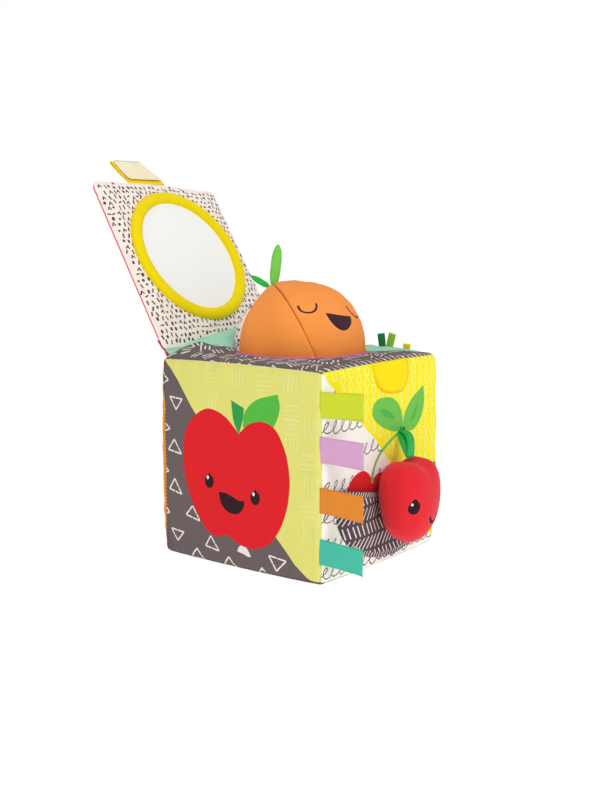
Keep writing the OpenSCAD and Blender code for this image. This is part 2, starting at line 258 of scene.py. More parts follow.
def mesh_object(name, points, faces, mats, face_mats=None, flat_points=None):
    mesh = bpy.data.meshes.new(name)
    co = np.array([tuple(p) for p in points], float) * MM
    mesh.from_pydata(co.tolist(), [], [list(f) for f in faces])
    for key in mats:
        mesh.materials.append(M[key])
    if face_mats is not None:
        mesh.polygons.foreach_set("material_index", list(face_mats))
    mesh.polygons.foreach_set("use_smooth", [True] * len(mesh.polygons))
    if flat_points is not None:
        layer = mesh.uv_layers.new(name="UVMap")
        flat = np.array([tuple(p)[:2] for p in flat_points], float) * MM
        index = np.zeros(len(mesh.loops), int)
        mesh.loops.foreach_get("vertex_index", index)
        layer.data.foreach_set("uv", flat[index].ravel())
    mesh.update()
    ob = bpy.data.objects.new(name, mesh)
    bpy.context.scene.collection.objects.link(ob)
    return ob


def apply_modifiers(ob):
    """Keeps the shape that the modifiers make as the object's own mesh."""
    graph = bpy.context.evaluated_depsgraph_get()
    mesh = bpy.data.meshes.new_from_object(ob.evaluated_get(graph))
    ob.modifiers.clear()
    ob.data = mesh
    return ob


def thicken(ob, thickness, offset=-1.0):
    mod = ob.modifiers.new("thick", "SOLIDIFY")
    mod.thickness = thickness * MM
    mod.offset = offset
    return apply_modifiers(ob)


def spline(points, step=1.5, closed=False):
    """Points along a smooth curve through the given ones."""
    p = [np.array(q, float) for q in points]
    n, out = len(p), []
    for i in range(n if closed else n - 1):
        b, c = p[i], p[(i + 1) % n]
        a = p[i - 1] if closed or i else 2 * b - c
        d = p[(i + 2) % n] if closed or i + 2 < n else 2 * c - b
        count = max(1, int(np.linalg.norm(c - b) / step + 0.5))
        for j in range(count):
            t = j / count
            out.append(0.5 * (2 * b + (c - a) * t + (2 * a - 5 * b + 4 * c - d) * t * t
                              + (3 * b - a - 3 * c + d) * t ** 3))
    if not closed:
        out.append(p[-1])
    return out


def outline(*runs, step=1.5):
    """A closed outline of smooth runs that meet at corners."""
    out = []
    for run in runs:
        out += spline(run, step)[:-1]
    return out


def oval(x, y, rx, ry, n=14, turn=0.0):
    c, s = cos(turn), sin(turn)
    out = []
    for k in range(n):
        a = tau * k / n
        dx, dy = rx * cos(a), ry * sin(a)
        out.append((x + c * dx - s * dy, y + s * dx + c * dy))
    return out


def dropped(points, by=HALF):
    """Points given with their height above the floor, on a side's own axes."""
    return [(p[0], p[1] - by) for p in points]


class Marks(list):
    """Printed shapes on a flat pattern, painted in the order that they come."""

    def area(self, points, key):
        self.append(([(float(p[0]), float(p[1])) for p in points], key))

    def shape(self, key, *runs, step=1.5):
        """A form of smooth runs, given with their height above the floor."""
        self.area(outline(*[dropped(run) for run in runs], step=step), key)

    def stroke(self, points, width, key):
        for a, b in zip(points, points[1:]):
            dx, dy = b[0] - a[0], b[1] - a[1]
            length = hypot(dx, dy) or 1.0
            ex, ey = dx / length * width * 0.3, dy / length * width * 0.3
            nx, ny = -dy / length * width / 2, dx / length * width / 2
            self.area([(a[0] - ex - nx, a[1] - ey - ny), (b[0] + ex - nx, b[1] + ey - ny),
                       (b[0] + ex + nx, b[1] + ey + ny), (a[0] - ex + nx, a[1] - ey + ny)],
                      key)

    def ring(self, x, y, rx, ry, width, key, n=12):
        loop = oval(x, y, rx, ry, n)
        self.stroke(loop + loop[:1], width, key)


def signed_area(loop):
    return sum(a[0] * b[1] - b[0] * a[1] for a, b in zip(loop, loop[1:] + loop[:1])) / 2


def cut_pattern(edge, base, marks, grid, hole=None):
    """Triangles of a flat pattern, each with the key of the last mark over it."""
    verts, faces, paint = [], [], []
    shapes = [(edge, base)] + list(marks) + ([(hole, None)] if hole else [])
    for loop, key in shapes:
        loop = [(float(p[0]), float(p[1])) for p in loop]
        if signed_area(loop) < 0:
            loop = loop[::-1]
        faces.append(list(range(len(verts), len(verts) + len(loop))))
        verts += [Vector(p) for p in loop]
        paint.append(key)
    verts += [Vector(p) for p in grid]
    vs, _, fs, _, _, source = delaunay_2d_cdt(verts, [], faces, 1, 1e-4)
    keep = [(f, paint[max(o)]) for f, o in zip(fs, source) if 0 in o]
    keep = [(f, key) for f, key in keep if key is not None]
    used = sorted({i for f, _ in keep for i in f})
    where = {old: new for new, old in enumerate(used)}
    keys = sorted({key for _, key in keep})
    return ([vs[i] for i in used], [[where[i] for i in f] for f, _ in keep],
            [keys.index(key) for _, key in keep], keys)


def printed_sheet(name, edge, base, marks, place, grid, hole=None, thick=1.0, flip=False):
    """A sheet of printed cloth: a flat pattern put in its place by place(u, v)."""
    flat, faces, mats, keys = cut_pattern(edge, base, marks, grid, hole)
    if flip:
        faces = [f[::-1] for f in faces]
    ob = mesh_object(name, [place(p[0], p[1]) for p in flat], faces, keys, mats, flat)
    return thicken(ob, thick) if thick else ob


def pillow(name, edge, key, place, grid):
    """A closed form of two sheets that meet at their edge. place(u, v, side)."""
    flat, faces, mats, keys = cut_pattern(edge, key, [], grid)
    uses = {}
    for f in faces:
        for a, b in zip(f, f[1:] + f[:1]):
            pair = (min(a, b), max(a, b))
            uses[pair] = uses.get(pair, 0) + 1
    border = {i for pair, count in uses.items() if count == 1 for i in pair}
    points = [place(p[0], p[1], 1) for p in flat]
    second, other, uv = {}, [], list(flat)
    for i, p in enumerate(flat):
        if i in border:
            second[i] = i
        else:
            second[i] = len(points) + len(other)
            other.append(place(p[0], p[1], -1))
            uv.append(p)
    below = [[second[i] for i in f][::-1] for f in faces]
    return mesh_object(name, points + other, faces + below, keys, mats + mats, uv)


def even_grid(x0, x1, y0, y1, step):
    xs = np.arange(x0 + step / 2, x1, step)
    ys = np.arange(y0 + step / 2, y1, step)
    return [(x, y) for x in xs for y in ys]


def lattice(name, rows, key, closed_u=False, closed_v=False, flat=None):
    """A mesh over rows of points, each row with the same number of them."""
    nu, nv = len(rows), len(rows[0])
    faces = []
    for i in range(nu if closed_u else nu - 1):
        for j in range(nv if closed_v else nv - 1):
            i2, j2 = (i + 1) % nu, (j + 1) % nv
            faces.append([i * nv + j, i2 * nv + j, i2 * nv + j2, i * nv + j2])
    points = [p for row in rows for p in row]
    if flat is None:
        flat = [(i, j) for i in range(nu) for j in range(nv)]
    return mesh_object(name, points, faces, [key], None, flat)


def ribbon(name, path, across, width, key, thick=0.5, columns=8, cup=0.0):
    """A ribbon of the given width along a path; across(t) is its width direction."""
    path = [Vector(p) for p in path]
    rows, flat, run = [], [], 0.0
    for i, p in enumerate(path):
        if i:
            run += (p - path[i - 1]).length
        t = i / (len(path) - 1)
        side = Vector(across(t)).normalized()
        ahead = (path[min(i + 1, len(path) - 1)] - path[max(i - 1, 0)]).normalized()
        normal = ahead.cross(side)
        row = []
        for j in range(columns + 1):
            s = j / columns - 0.5
            row.append(p + side * (s * width) + normal * (cup * (1 - 4 * s * s)))
            flat.append((run, s * width))
        rows.append(row)
    ob = lattice(name, rows, key, flat=flat)
    return thicken(ob, thick, 0.0)


def stitches(name, path, normals, key, length=1.8, gap=1.6, r=0.28, lift=0.1, slant=0.0):
    """A row of short threads along a path, lying on the surface."""
    path = [Vector(p) for p in path]
    points, faces = [], []
    run, want = 0.0, 0.0
    for i in range(len(path) - 1):
        a, b = path[i], path[i + 1]
        seg = (b - a).length
        while want <= run + seg and seg > 0:
            t = (want - run) / seg
            n = Vector(normals[i]).normalized()
            d = (b - a).normalized()
            side = d.cross(n).normalized()
            d = (d * cos(slant) + side * sin(slant)).normalized()
            side = d.cross(n).normalized()
            mid = a.lerp(b, t) + n * lift
            base = len(points)
            for s, w in ((-0.5, 0.15), (-0.36, 0.85), (0.0, 1.15), (0.36, 0.85), (0.5, 0.15)):
                c = mid + d * (s * length) + n * (r * 0.5 * (w - 1.0))
                for k in range(6):
                    ang = tau * k / 6
                    points.append(c + (side * cos(ang) + n * sin(ang)) * (r * w))
            for q in range(4):
                for k in range(6):
                    k2 = (k + 1) % 6
                    faces.append([base + q * 6 + k, base + q * 6 + k2,
                                  base + q * 6 + 6 + k2, base + q * 6 + 6 + k])
            faces.append([base + k for k in range(6)][::-1])
            faces.append([base + 24 + k for k in range(6)])
            want += length + gap
        run += seg
    return mesh_object(name, points, faces, [key])


def bent_noise(x, y, seed, size):
    return noise.noise(Vector((x / size, y / size, seed)))


def smooth_step(a, b, x):
    t = min(1.0, max(0.0, (x - a) / (b - a)))
    return t * t * (3 - 2 * t)


def curve_value(x, table):
    """Smoothly joins the (x, value) pairs of a table."""
    for (x0, v0), (x1, v1) in zip(table, table[1:]):
        if x <= x1:
            return v0 + (v1 - v0) * smooth_step(x0, x1, x)
    return table[-1][1]


# ---------------------------------------------------------------- the cube

SIDES = {
    "front": (Vector((0, -1, 0)), Vector((1, 0, 0)), Vector((0, 0, 1))),
    "right": (Vector((1, 0, 0)), Vector((0, 1, 0)), Vector((0, 0, 1))),
    "back": (Vector((0, 1, 0)), Vector((-1, 0, 0)), Vector((0, 0, 1))),
    "left": (Vector((-1, 0, 0)), Vector((0, -1, 0)), Vector((0, 0, 1))),
    "top": (Vector((0, 0, 1)), Vector((1, 0, 0)), Vector((0, 1, 0))),
    "bottom": (Vector((0, 0, -1)), Vector((1, 0, 0)), Vector((0, -1, 0))),
}
CROWN = {"front": 3.6, "right": 3.2, "back": 3.6, "left": 3.4, "top": 3.0, "bottom": 0.0}
SEED = {"front": 3.1, "right": 7.7, "back": 12.3, "left": 18.9, "top": 23.5, "bottom": 31.0}
HOLE_R = 54.3  # the round opening in the top
# the top stands up between the opening and the hinge, by the product of these two
RIDGE_ALONG = [(-80, 0), (-70, 5.5), (-57, 10.5), (-41, 12), (-29, 13.5), (-15, 15.5),
               (2, 16.5), (35, 15), (60, 9), (80, 0)]
RIDGE_ACROSS = [(-80, 0), (-75, 0.5), (-67, 1), (-58, 0.95), (-50, 0.6), (-38, 0.3),
                (-26, 0)]


def swell(side, u, v):
    """How far the soft cover stands off the straight cube at a point."""
    e_u, e_v = HALF - abs(u), HALF - abs(v)
    e = min(e_u, e_v)
    a, b = (u / HALF) ** 2, (v / HALF) ** 2
    out = BOW * (a * (1 - b) + b * (1 - a)) - 0.35 * exp(-(e / 1.5) ** 2)
    if side == "bottom":
        return out
    out += CROWN[side] * (1 - a) * (1 - b)
    seed = SEED[side]
    for edge, along, s in ((e_u, v, copysign(5, u)), (e_v, u, copysign(9, v))):
        k = edge / 5.0
        out += 1.15 * k * exp(1 - k) * bent_noise(along, s, seed, 8.5)
    calm = 1 - exp(-(e / 14.0))
    out += 1.4 * calm * bent_noise(u, v, seed + 50, 34.0)
    out += 0.22 * (1 - exp(-e / 3)) * bent_noise(u, v, seed + 90, 9.0)
    if side == "top":
        out += curve_value(v, RIDGE_ALONG) * curve_value(u, RIDGE_ACROSS)
    return out


def round_part(w):
    """How far a coordinate reaches into the rounded edge."""
    return copysign(max(abs(w) - CORE, 0.0), w)


def cube_point(side, u, v, lift=0.0, flat=False):
    """A place on a side's cover; (u, v) are counted from the side's middle."""
    n, du, dv = SIDES[side]
    ru, rv = round_part(u), round_part(v)
    d = Vector((ru, rv, EDGE_R)).normalized()
    off = EDGE_R + lift + (0.0 if flat else swell(side, u, v))
    local = Vector((u - ru, v - rv, CORE)) + d * off
    p = Vector((0, 0, HALF)) + du * local.x + dv * local.y + n * local.z
    p.z = max(p.z, 0.0)
    return p


def cube_normal(side, u, v):
    n, du, dv = SIDES[side]
    return (du * round_part(u) + dv * round_part(v) + n * EDGE_R).normalized()


def edge_lines(coarse=2.4):
    """Grid lines that crowd toward the seams, where the cloth bends most."""
    near = [0.7, 1.5, 2.4, 3.4, 4.6, 6.0, 7.6, 9.4, 11.4]
    inner = list(np.arange(13.5, HALF, coarse))
    half = [HALF - e for e in near + inner]
    return sorted([-x for x in half] + half)


def cube_grid(coarse=2.4):
    lines = edge_lines(coarse)
    return [(x, y) for x in lines for y in lines]


def square(h=HALF, step=2.0):
    return outline([(-h, -h), (h, -h)], [(h, -h), (h, h)], [(h, h), (-h, h)],
                   [(-h, h), (-h, -h)], step=step)


def front_marks():
    m = Marks()
    diagonal = spline(dropped([(-80, 161), (-76, 158), (-63, 146), (-42, 120), (-2, 74),
                               (39, 31), (59, 11), (76, -1), (80, -2)]), 2)
    m.area(diagonal + [(90, 90), (-90, 90)], "pear")
    def hatch(x, z, upright, count=4, gap=3.6, length=13.0):
        for k in range(count):
            o = (k - (count - 1) / 2) * gap
            j = 1.2 * bent_noise(x + 9 * k, z, 3.3, 7.0)
            if upright:
                ends = [(x + o, z - 80 - length / 2 + j),
                        (x + o + 0.4, z - 80 + length / 2 + j)]
            else:
                ends = [(x - length / 2 + j, z - 80 + o),
                        (x + length / 2 + j, z - 80 + o + 0.4)]
            m.stroke(ends, 0.8, "hatch")
    for x, z in ((-23, 153), (27, 147), (54, 127), (53, 117), (69, 92), (69, 57)):
        hatch(x, z, False)
    for x, z in ((2, 149), (52, 148), (-25, 129), (54, 104), (71, 117), (71, 75), (70, 40)):
        hatch(x, z, True)
    # the grey corner covers the hatching again
    m.area(diagonal + [(90, -90), (-90, -90)], "grey")
    def triangle(*tips):
        tips = dropped(tips)
        for a, b in zip(tips, tips[1:] + tips[:1]):
            for s, e in ((0.04, 0.42), (0.52, 0.97)):
                bow = 0.25 * bent_noise(a[0], b[1], 1.7, 3.0)
                p = [(a[0] + (b[0] - a[0]) * t + bow, a[1] + (b[1] - a[1]) * t) for t in (s, e)]
                m.stroke(p, 1.25, "chalk")
    for tips in (((-69, 129), (-55, 128), (-62, 119)), ((-64, 95), (-71, 86), (-56, 84)),
                 ((-64, 63), (-70, 54), (-57, 51)), ((-46, 43), (-53, 35), (-38, 32)),
                 ((-70, 21), (-56, 20), (-63, 12)), ((-26, 22), (-32, 13), (-18, 11)),
                 ((32, 16), (48, 14), (39, 5)), ((-79, 149), (-71, 142), (-78, 138)),
                 ((-79, 110), (-69, 103), (-77, 100)), ((-79, 76), (-71, 68), (-78, 66)),
                 ((-79, 42), (-71, 34), (-78, 32)), ((-42, 9), (-49, 1), (-35, 0)),
                 ((-8, 8), (-15, 0), (-1, 0)), ((25, 5), (18, -2), (32, -2))):
        triangle(*tips)
    m.shape("chalk",
        [(1, 14), (3, 18), (7, 20), (11, 18), (15, 12)],
        [(15, 12), (12, 11.4), (7, 13), (1, 14)])
    # apple, its stalk and leaf
    m.shape("leaf_print",
        [(8, 112), (9, 122), (15, 130), (23, 135), (33, 138), (41, 140)],
        [(41, 140), (43, 131), (41, 122), (36, 112)],
        [(36, 112), (22, 110), (8, 112)])
    m.shape("apple",
        [(4, 107), (-8, 117.5), (-20, 122.5), (-31, 122.5), (-43, 115), (-50, 105), (-53.5, 92),
         (-53.5, 76), (-50.5, 59), (-45, 45), (-37, 33), (-29, 25.5), (-22, 22.8), (-15, 23.6),
         (-8, 26)],
        [(-8, 26), (-2, 22.5), (6, 19.3), (18, 18.8), (30, 23.4), (41, 35), (49, 52), (52, 68),
         (52, 82), (49, 97), (42, 110.5), (34, 116.6), (24, 118), (13, 114.6), (4, 107)])
    m.shape("stem_print",
        [(-4, 132), (2, 129.5), (9, 127)],
        [(9, 127), (8, 118), (4, 106)],
        [(4, 106), (-1, 116), (-4, 132)])
    for x, z in ((-27, 66), (19.5, 59)):
        m.shape("ink",
            [(x + 0.6, z + 7.4), (x - 1.2, z + 4.9), (x - 3.6, z + 3.2), (x - 4.6, z),
             (x - 3.6, z - 3.8), (x - 0.2, z - 5.6), (x + 3.4, z - 4), (x + 4.7, z),
             (x + 3.9, z + 3.2), (x + 1.4, z + 5), (x + 0.6, z + 7.4)], step=1.0)
        m.area(oval(x - 1.6, z - 80 + 2.6, 1.2, 1.5, 10), "white_dot")
    m.shape("ink",
        [(-17, 58.6), (-11, 58.8), (-4, 57), (3, 54.6), (8.8, 54.8)],
        [(8.8, 54.8), (8, 49.6), (4, 45), (-1, 43.2), (-8, 44.6), (-14, 50), (-17, 58.6)],
        step=1.2)
    # the orange side comes a little way round the upright edge
    m.area(spline([(-81, -72), (-78, -66), (-74.4, -40), (-74, 0), (-74.4, 40), (-77, 62),
                   (-81, 70)], 3) + [(-90, 70), (-90, -72)], "gold")
    return m


def scribble(m, z, y0, y1, key="scribble", pitch=9.6, height=10.5):
    """A row of handwritten loops."""
    turns = (y1 - y0) / pitch
    count = int(turns * 12)
    points = []
    for k in range(count + 1):
        t = tau * turns * k / count
        h = height * (0.45 + 0.28 * bent_noise(k / 9.0, z, 5.0, 1.0))
        dz = -h * cos(t)
        y = y0 + pitch * t / (tau) + 0.34 * pitch * sin(t) + 0.5 * dz
        points.append((y, z - 80 + dz + 1.2 * bent_noise(y, z, 2.0, 30.0)))
    m.stroke(points, 0.85, key)


POCKET_MOUTH = [(-71, 70.5), (-62, 69.6), (-52, 67.6), (-35, 64.4), (-19, 61), (-7, 59.4),
                (10, 58), (40, 60), (64, 66), (76, 70)]
POCKET_FOOT = [(76, 36), (60, 18), (46, 10.5), (34, 7.2), (16, 5.4), (0, 6), (-14, 8),
               (-28, 12), (-42, 18.6), (-55, 30), (-63, 41), (-67.5, 53), (-71, 70.5)]


def right_marks():
    m = Marks()
    for z in (139, 118, 96, 73, 51, 29, 9.5):
        scribble(m, z, -82, 84)
    diagonal = spline(dropped([(-80, 159), (-76, 155), (-65, 143.5), (-43, 124), (-29, 112),
                               (-12, 99), (2, 84), (20, 66), (50, 33), (80, 0), (84, -4)]), 2.5)
    m.area(diagonal + [(95, 95), (-95, 95)], "yellow")
    for col in range(18):
        for row in range(18):
            y = -85 + 9.7 * col
            z = 155 - 9.8 * row + (4.9 if col % 2 else 0) + 1.2 * bent_noise(y, row, 8.0, 5.0)
            edge = np.interp(y, [-80, -43, 2, 80], [157, 124, 84, 0])
            if z > edge + 5:
                m.ring(y, z - 80, 2.6, 3.9, 1.7, "zeros", 9)
    # printed sprig and the half cherry behind the pocket
    m.stroke(spline(dropped([(22, 103.5), (12, 99.5), (5, 96), (-4, 91), (-10, 86.6), (-15, 81),
                             (-17.6, 76), (-18.6, 70.5)]), 2), 2.6, "sprig")
    m.shape("apple",
        [(-19, 70.5), (-24, 76), (-31, 79.4), (-39, 79), (-46, 75.6), (-51, 70), (-53, 63),
         (-50, 54)],
        [(-50, 54), (5, 50)],
        [(5, 50), (8, 60), (4, 69), (-3, 73.4), (-11, 74), (-19, 70.5)])
    m.stroke(spline(dropped([(-16.4, 78), (-18.2, 73), (-18.6, 68.5)]), 2), 2.6, "sprig")
    m.shape("sprig",
        [(-17.5, 128), (-12, 131.6), (-4, 132.4), (6, 131.4), (14, 127.6), (20, 120.6),
         (23.4, 112), (24.6, 104)],
        [(24.6, 104), (14, 103.4), (4, 105.6), (-6, 109.8), (-14, 114.8), (-19, 120.6),
         (-17.5, 128)])
    m.shape("sprig_vein",
        [(-9.6, 124), (-1, 122.6), (6, 119), (12.6, 113.6)],
        [(12.6, 113.6), (3, 115.6), (-5, 119), (-9.6, 124)])
    m.shape("sprig",
        [(24.8, 103), (24.4, 112), (29, 119.6), (38, 127), (56, 136)],
        [(56, 136), (57.6, 124), (54.6, 113.6), (47.4, 105), (38, 101), (24.8, 103)])
    m.shape("sprig_vein",
        [(47.6, 122.4), (42, 118), (37.4, 112.6), (34.6, 108)],
        [(34.6, 108), (40, 109.4), (44.4, 113.4), (47.6, 122.4)])
    m.shape("amber_thread",
        [(-20, 162), (-17.4, 151), (-14, 143.6), (-8, 138), (0, 135.2), (12, 133.6),
         (24, 134.6), (30.6, 139.4), (33, 147), (32, 162)],
        [(32, 162), (-20, 162)])
    return m


def top_marks():
    m = Marks()
    rng = random.Random(11)
    for cx in np.arange(-84, 90, 12.0):
        for cy in np.arange(-84, 90, 12.0):
            if cy > cx + 14:
                continue
            turn = rng.choice((0.35, 1.25, 2.1, 2.75)) + rng.uniform(-0.15, 0.15)
            c, s = cos(turn), sin(turn)
            x, y = cx + rng.uniform(-1.5, 1.5), cy + rng.uniform(-1.5, 1.5)
            for k in range(rng.choice((2, 3, 3))):
                o = (k - 1) * 3.4
                half = rng.uniform(3.2, 4.8)
                a = (x - c * half - s * o, y - s * half + c * o)
                b = (x + c * half - s * o, y + s * half + c * o)
                if max(a[0], b[0]) < 73.5:
                    m.stroke([a, b], 1.15, "chalk")
    for y in np.arange(-76, 79, 6.6):
        m.stroke([(75.2, y - 1.4), (79.6, y + 1.6)], 1.25, "chalk")
    return m


def sheet_facts(ob, width, length, held, rests_on, share=None):
    """Works out a sheet's cloth area from its cut size and the share of it which is cloth, and
    keeps nothing.
    """
    share and share * width * length * MM * MM
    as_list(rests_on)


def add(ob, body, slot=None, *nodes):
    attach(ob, body)
    if nodes:
        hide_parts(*nodes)
    return ob


def flatten_under_lid(ob):
    """Gives the piece its own copy of its mesh; the top's puffed cloth is not flattened here."""
    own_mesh(ob)


grid = cube_grid()


def side_cover(side, base, marks, slot, **options):
    ob = printed_sheet(side + "_cover_cloth", square(), base, marks,
                       lambda u, v: cube_point(side, u, v), grid, **options)
    add(ob, "cube", slot, side + "_cover")
    sheet_facts(ob, 170, 170, "stretched", [side + "_foam_block"])
    return ob


def back_marks():
    m = Marks()
    rng = random.Random(5)
    for cx in np.arange(-72, 80, 16.0):
        for cy in np.arange(-72, 80, 16.0):
            m.ring(cx + rng.uniform(-1.5, 1.5), cy + rng.uniform(-1.5, 1.5), 2.6, 2.6, 1.1,
                   "cream", 10)
    return m


side_cover("front", "grey", front_marks(), "pear_print")
side_cover("right", "cream", right_marks(), "cherry_print")
side_cover("back", "mint", back_marks(), "mint_fabric")
side_cover("left", "gold", Marks(), "orange_fabric")
bottom = Marks()
bottom.area([(-90, 73.5), (90, 73.5), (90, 90), (-90, 90)], "grey")
side_cover("bottom", "teal_cloth", bottom, "teal_fabric")

circle = oval(0, 0, HOLE_R, HOLE_R, 120)
ring_points = [p for r in (55.2, 56.4, 58.2) for p in oval(0, 0, r, r, 110)]
for name, base, marks, corner, slot in (
        ("top_cover_grey", "grey", top_marks(), 1, "grey_print"),
        ("top_cover_mint", "mint", Marks(), -1, "mint_fabric")):
    steps = list(np.linspace(-HALF, HALF, 81))
    diagonal_line = [(t, t) for t in steps]
    if corner > 0:
        edge = ([(t, -HALF) for t in steps] + [(HALF, t) for t in steps[1:]]
                + diagonal_line[::-1][1:-1])
    else:
        edge = (diagonal_line + [(t, HALF) for t in steps[::-1][1:]]
                + [(-HALF, t) for t in steps[::-1][1:-1]])
    points = [p for p in grid if (p[0] - p[1]) * corner > 0.8
              and hypot(*p) > HOLE_R + 0.8]
    ob = printed_sheet(name + "_cloth", edge, base, marks,
                       lambda u, v: cube_point("top", u, v), points + ring_points, circle)
    add(ob, "cube", slot, name)
    sheet_facts(ob, 166, 166, "stretched", ["top_foam_block"], share=0.32)
    flatten_under_lid(ob)

# foam blocks under the covers
coarse = cube_grid(8.0)
for side in SIDES:
    hole = oval(0, 0, HOLE_R + 1, HOLE_R + 1, 60) if side == "top" else None
    def block_point(u, v, side=side):
        p = cube_point(side, u, v, flat=True) - Vector((0, 0, HALF))
        return p * (1 - 2.2 / HALF) + Vector((0, 0, HALF))
    ob = printed_sheet(side + "_foam_block", square(HALF, 6.0), "foam", Marks(), block_point,
                       coarse, hole, thick=11.0)
    add(ob, "cube", "foam", side + "_foam")

# threads along the cube's seams
for k, (side, fixed, at, key) in enumerate((
        ("front", "v", -77.8, "dark_thread"), ("front", "u", -74.6, "dark_thread"),
        ("front", "v", 78.6, "pale_thread"), ("right", "v", -78.4, "mint_thread"),
        ("right", "u", 78.4, "yellow_thread"), ("back", "u", 78.4, "mint_thread"),
        ("back", "v", -78.4, "mint_thread"), ("back", "v", 78.4, "mint_thread"),
        ("left", "v", -78.4, "amber_thread"),
        ("left", "u", -78.4, "amber_thread"))):
    line = [(t, at) if fixed == "v" else (at, t) for t in np.linspace(-76, 76, 90)]
    ob = stitches("seam_thread_%02d" % (k + 1), [cube_point(side, *p) for p in line],
                  [cube_normal(side, *p) for p in line], key, 1.5, 1.4, 0.26)
    add(ob, "cube")


def top_height(x, y):
    return cube_point("top", x, y).z


# ring of binding round the opening: its middle line, and half of its width
BINDING_R, BINDING_HALF = 53.1, 1.7
rows = []
for i in range(200):
    a = tau * i / 200
    c, s = cos(a), sin(a)
    rim = top_height(55.6 * c, 55.6 * s)
    pucker = bent_noise(cos(a) * 9, sin(a) * 9, 4.0, 1.0)
    row = []
    for k in range(14):
        b = tau * k / 14
        r = BINDING_R + BINDING_HALF * cos(b) + 0.25 * pucker * (1 + cos(b))
        z = rim - 1.9 + 2.7 * sin(b) * (1 if sin(b) > 0 else 1.6) + 0.3 * pucker
        row.append(Vector((r * c, r * s, z)))
    rows.append(row)
ob = lattice("opening_binding_tape", rows, "pink", True, True)
add(ob, "cube", "pink_binding", "opening_binding")
flatten_under_lid(ob)

# lining bag: from the opening's radius out to the foam, and down to its floor
BAG_MOUTH_R, BAG_HALF, BAG_FLOOR = 53.0, 63.0, 14.6
rows = []
levels = [(157, 0.0), (152, 0.0), (147, 0.02), (144.4, 0.5), (143.4, 1.0), (140, 1.0)]
levels += [(z, 1.0) for z in range(132, 20, -12)] + [(17.5, 1.0), (15, 0.94)]
for z, open_out in levels:
    row = []
    for i in range(144):
        a = tau * i / 144
        c, s = cos(a), sin(a)
        box = BAG_HALF / (abs(c) ** 8 + abs(s) ** 8) ** 0.125
        fold = (1.2 * bent_noise(c * 6, s * 6, z / 60.0, 1.0)
                + 0.6 * bent_noise(c * 20, s * 20, z / 90.0, 1.0))
        r = BAG_MOUTH_R + (box - BAG_MOUTH_R) * open_out + fold * open_out
        row.append(Vector((r * c, r * s, z)))
    rows.append(row)
for k in (0.7, 0.4, 0.15):
    rows.append([Vector((p.x * k, p.y * k,
                         BAG_FLOOR + 0.4 * bent_noise(p.x * k, p.y * k, 1, 20)))
                 for p in rows[len(levels) - 1]])
rows.append([Vector((p.x * 0.01, p.y * 0.01, BAG_FLOOR)) for p in rows[len(levels) - 1]])
ob = lattice("inner_lining_cloth", rows, "pink", False, True)
ob = thicken(ob, 0.8, 0.0)
add(ob, "cube", "pink_lining", "inner_lining")
sheet_facts(ob, 520, 190, "hung", ["opening_binding_tape"])

# closure patch on the right side
PATCH = dropped([(-20, 159), (-17.4, 151), (-13.6, 144.4), (-8, 139), (0, 136.2), (12, 134.8),
                 (23.6, 135.8), (29.6, 140.4), (31.6, 147.4), (31, 159)])
patch_edge = outline(PATCH, [PATCH[-1], PATCH[0]])
patch_loop = np.array([tuple(p) for p in spline(PATCH, 1.0)])


def patch_point(u, v):
    e = float(np.min(np.hypot(patch_loop[:, 0] - u, patch_loop[:, 1] - v)))
    return cube_point("right", u, v, 0.15 + 1.3 * (1 - exp(-e / 1.3)))


ob = printed_sheet("closure_patch_cloth", patch_edge, "patch", Marks(), patch_point,
                   even_grid(-22, 34, 53, 80, 1.8), thick=0.5)
add(ob, "cube", "yellow_patch", "closure_patch")
sheet_facts(ob, 54, 26, "stretched", ["right_cover_cloth"])
seam = [tuple(p * 0.96 + np.array([0.25, 2.9])) for p in spline(PATCH, 1.0)]
ob = stitches("patch_thread", [cube_point("right", u, v, 1.4) for u, v in seam if v < 77],
              [cube_normal("right", u, v) for u, v in seam], "amber_thread", 1.6, 0.9, 0.22)
add(ob, "cube")

# pocket
pocket_edge = outline(dropped(POCKET_MOUTH), dropped(POCKET_FOOT))


def pocket_top(y):
    return float(np.interp(y, [p[0] for p in POCKET_MOUTH], [p[1] for p in POCKET_MOUTH]))


def pocket_low(y):
    foot = sorted(POCKET_FOOT)
    return float(np.interp(y, [p[0] for p in foot], [p[1] for p in foot]))


def pocket_point(u, v):
    z = v + 80
    top, low = pocket_top(u), pocket_low(u)
    t = min(1.0, max(0.0, (z - low) / max(top - low, 1.0)))
    fill = sin(pi * (u + 71) / 59) if u < -12 else 0.0
    bulge = 5.2 * max(0.0, fill) * sin(pi / 2 * t) ** 1.3
    fold = 1.0 * t * bent_noise(u, z, 14.0, 16.0) * min(1.0, (76 - u) / 12, (u + 71) / 8)
    edge = 0.9 * (1 - exp(-6 * t))
    return cube_point("right", u, v, 0.5 + edge + max(bulge + fold, 0.0))


def pocket_marks():
    m = Marks()
    for row in range(7):
        z = 4 + 12.2 * row
        lean = 3.0 if row % 2 else -3.0
        for y in np.arange(-78, 84, 5.4):
            j = 0.6 * bent_noise(y, z, 6.0, 3.0)
            m.stroke([(y - lean + j, z - 80 + 1.6), (y + lean + j, z - 80 + 10.8)], 1.15, "chalk")
    for y in np.arange(-70, 76, 3.4):
        top, low = pocket_top(y), pocket_low(y)
        m.area([(y - 2, top - 80 - 4.4), (y + 2, top - 80 - 4.4), (y + 2, top - 76),
                (y - 2, top - 76)], "plum")
        m.stroke([(y - 0.9, top - 80 - 3.4), (y + 0.9, top - 80 - 0.6)], 0.9, "chalk")
        if -45 < y < 60:
            m.area([(y - 2, low - 84), (y + 2, low - 84), (y + 2, low - 76.2),
                    (y - 2, low - 76.2)], "plum")
            m.stroke([(y - 0.9, low - 79.4), (y + 0.9, low - 76.4)], 0.9, "chalk")
    return m


